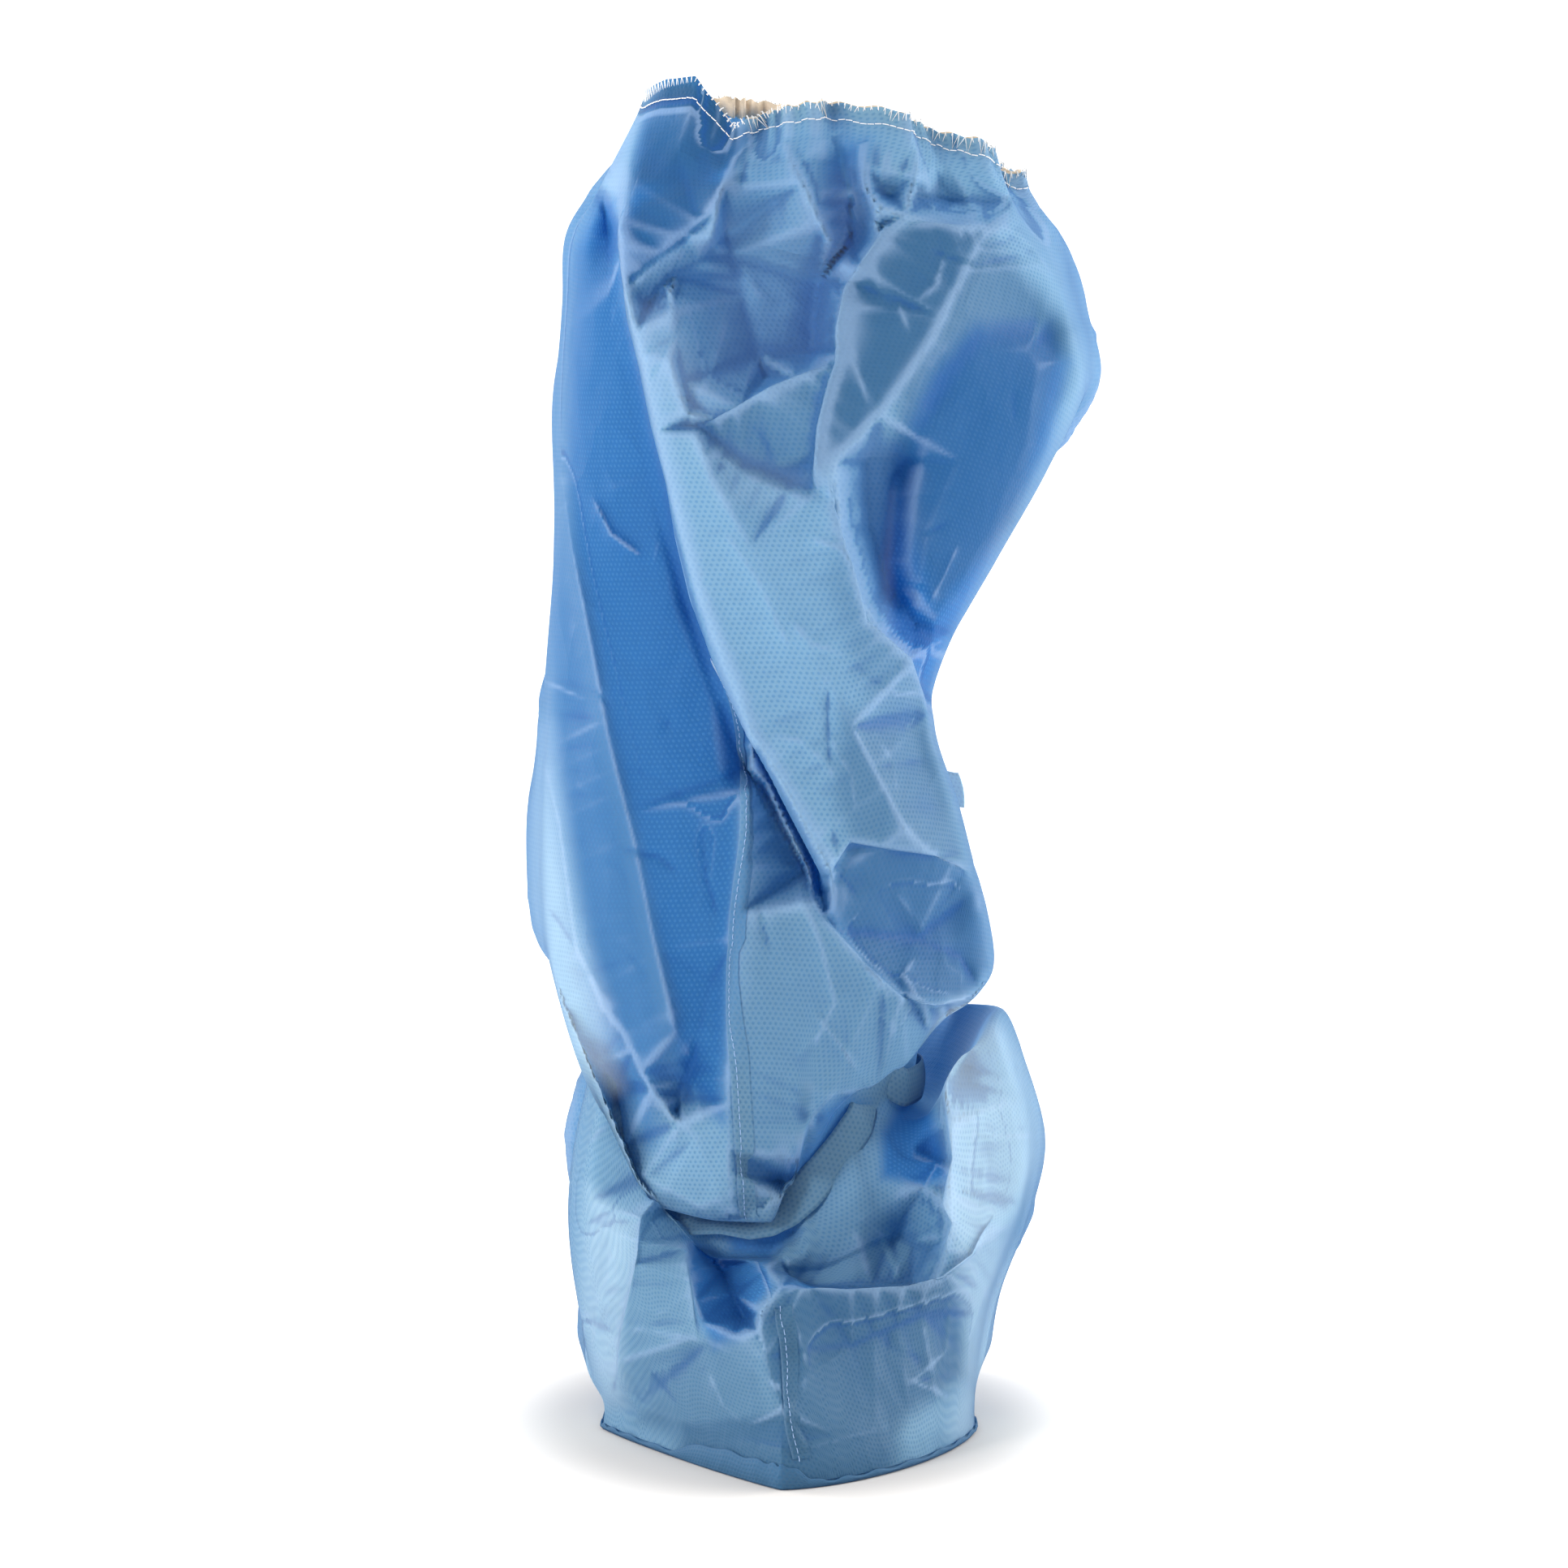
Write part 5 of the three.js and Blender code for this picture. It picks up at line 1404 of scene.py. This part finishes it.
near, far = SOLE["gap"], SOLE["gap"] + SOLE["fabric"]
middle_of_foot = np.array([0, -15, 0])
sole_points = np.array([
    towards_middle(0.02, SOLE["floor"]),
    towards_middle(0.5, SOLE["floor"]),
    sole_loop(near, SOLE["floor"]),
    sole_loop(near, edge - 0.4),
    sole_loop(near + 0.3, edge),
    sole_loop(far - 0.2, edge),
    sole_loop(far, edge - 0.4),
    sole_loop(far + 0.2, edge * 0.5),
    sole_loop(far, 0.8),
    sole_loop(far - 0.6, 0.0),
    towards_middle(0.5, 0.0),
    towards_middle(0.02, 0.0),
])
run = np.cumsum(np.linalg.norm(step, axis=-1)) / 2
sole_rows = len(sole_points)
sole_uv = np.stack(np.broadcast_arrays(run[None], np.cumsum(np.full(sole_rows, 4.0))[:, None]), axis=-1)
sole_caps = [
    list(range(SOLE_COLUMNS - 1, -1, -1)),
    list(range((sole_rows - 1) * SOLE_COLUMNS, sole_rows * SOLE_COLUMNS)),
]
sole_faces = [*grid_faces(sole_rows, SOLE_COLUMNS, closed=True).tolist(), *sole_caps]
sole = new_object("sole_sheet", sole_points, sole_faces, sole_uv)
sole.data.materials.append(fabric("fabric_sole"))
# The sole's painted back light and painted shade
for key in ("painted_light", "shade"):
    paint(sole, key, np.full(len(sole.data.vertices), SOLE[key]))

# %% Recalculate the normals of the closed pieces, so that they all face outwards
for obj in (elastic, knot, sole):
    work = bmesh.new()
    work.from_mesh(obj.data)
    bmesh.ops.remove_doubles(work, verts=work.verts, dist=1e-6)
    bmesh.ops.recalc_face_normals(work, faces=work.faces)
    work.to_mesh(obj.data)
    work.free()

# %% [markdown]
#
# Every piece rides on the cover's one body. The eight main pieces stand for the CAD nodes, which are
# hidden, and the strips and stitches for none.

# %% Pieces
for obj, slot_name, nodes in (
    (left, "side_panel_left", ["side_panel_left"]),
    (right, "side_panel_right", ["side_panel_right"]),
    (strips[0], "side_panel_right", []),
    (strips[1], "side_panel_right", []),
    (seam_stitches[0], "side_panel_right", []),
    (seam_stitches[1], "side_panel_right", []),
    (elastic, "elastic", ["elastic"]),
    (overlock, "elastic", []),
    (needle_line, "elastic", []),
    (tie, "ankle_tie", ["ankle_tie"]),
    (knot, "tie_knot", ["tie_knot"]),
    (tails[0], "tie_tail_right", ["tie_tail_right"]),
    (tails[1], "tie_tail_left", ["tie_tail_left"]),
    (sole, "sole_panel", ["sole_panel"]),
):
    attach(obj, "root")
    if nodes:
        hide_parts(*nodes)

for obj in (left, right, sole, tie, *tails, *strips, elastic, knot):
    print(obj.name, round(sum(face.area for face in obj.data.polygons), 4), "m2")

# %% [markdown]
# ## Floor, light and camera
#
# The room is bright behind the cover and dim behind the camera, so that light comes through the fabric. A
# soft light stands in front at the left, a weak one at the right, and two behind shine through the edges. The
# floor also glows, more with distance from the foot, so part of the soft shadow round the foot is a painted
# shadow on the floor.

# %% A square of floor
def flat_square(name, half, z):
    points = np.array([(-half, -half, z), (half, -half, z), (half, half, z), (-half, half, z)], float)
    return new_object(name, points, [[0, 1, 2, 3]], smooth_shaded=False)


# %% The floor
floor = flat_square("floor", 20000, -0.2)
floor_material, graph = new_material("floor_white_with_painted_shadow")
stretched = {0: graph.node("ShaderNodeTexCoord", output=3), 1: (1.9, 1, 0)}  # the glow's edge is an oval
place = graph.node("ShaderNodeVectorMath", {"operation": "MULTIPLY"}, stretched)
away = graph.node("ShaderNodeVectorMath", {"operation": "LENGTH"}, {0: place}, output=1)
# The glow rises with distance from the foot, which paints a soft shadow round it
white = graph.node("ShaderNodeBsdfPrincipled", (), {
    "Base Color": (0.67, 0.645, 0.62, 1),
    "Roughness": 1.0,
    "Specular IOR Level": 0.0,
    "Emission Color": (1, 1, 1, 1),
    "Emission Strength": away.between(0.13, 0.23) * 0.7,
})
graph.node("ShaderNodeOutputMaterial", (), {"Surface": white})
floor.data.materials.append(floor_material)

# %% The sky
world = bpy.data.worlds.new("white_room")
bpy.context.scene.world = world
world.use_nodes = True
sky = Graph(world.node_tree)
SKY = {"front": 0.12, "back": 1.5}  # brightness of the room behind the camera and behind the cover
direction = sky.node("ShaderNodeSeparateXYZ", (), {0: sky.node("ShaderNodeTexCoord")}, output=1)
strength = direction.between(-0.9, -0.1) * (SKY["back"] - SKY["front"]) + SKY["front"]
background = sky.node("ShaderNodeBackground", (), {"Color": (1, 1, 1, 1), "Strength": strength})
sky.node("ShaderNodeOutputWorld", (), {"Surface": background})


# %% Lights
def soft_light(name, location, target, size, power):
    data = bpy.data.lights.new(name, "AREA")
    data.shape, data.size, data.size_y, data.energy = "RECTANGLE", size[0], size[1], power
    obj = bpy.data.objects.new(name, data)
    bpy.context.scene.collection.objects.link(obj)
    obj.location = location
    obj.rotation_euler = (Vector(target) - Vector(location)).to_track_quat("-Z", "Y").to_euler()
    return obj


lights = [
    soft_light("key_left", (-1.3, -1.7, 0.9), (0, 0, 0.25), (0.5, 0.7), 24),
    soft_light("side_right", (1.9, 0.1, 0.45), (0, 0, 0.2), (0.5, 0.9), 8),
    soft_light("back_left", (-1.3, 0.8, 0.6), (0, 0, 0.25), (0.5, 1.2), 10),
    soft_light("back_right", (1.4, 0.7, 0.6), (0, 0, 0.25), (0.5, 1.2), 14),
]

# %% Camera
CAMERA = {"sensor": 36, "lens": 170.55, "down": 5.36, "place": (0.0008, -2.5, 0.45)}  # down in degrees
camera_data = bpy.data.cameras.new("camera")
camera_data.sensor_width = CAMERA["sensor"]
camera_data.lens = CAMERA["lens"]
camera_data.dof.use_dof = False
camera = bpy.data.objects.new("camera", camera_data)
bpy.context.scene.collection.objects.link(camera)
camera.location = CAMERA["place"]
camera.rotation_euler = (math.radians(90 - CAMERA["down"]), 0, 0)
bpy.context.scene.camera = camera
bpy.context.scene.view_settings.view_transform = "Standard"
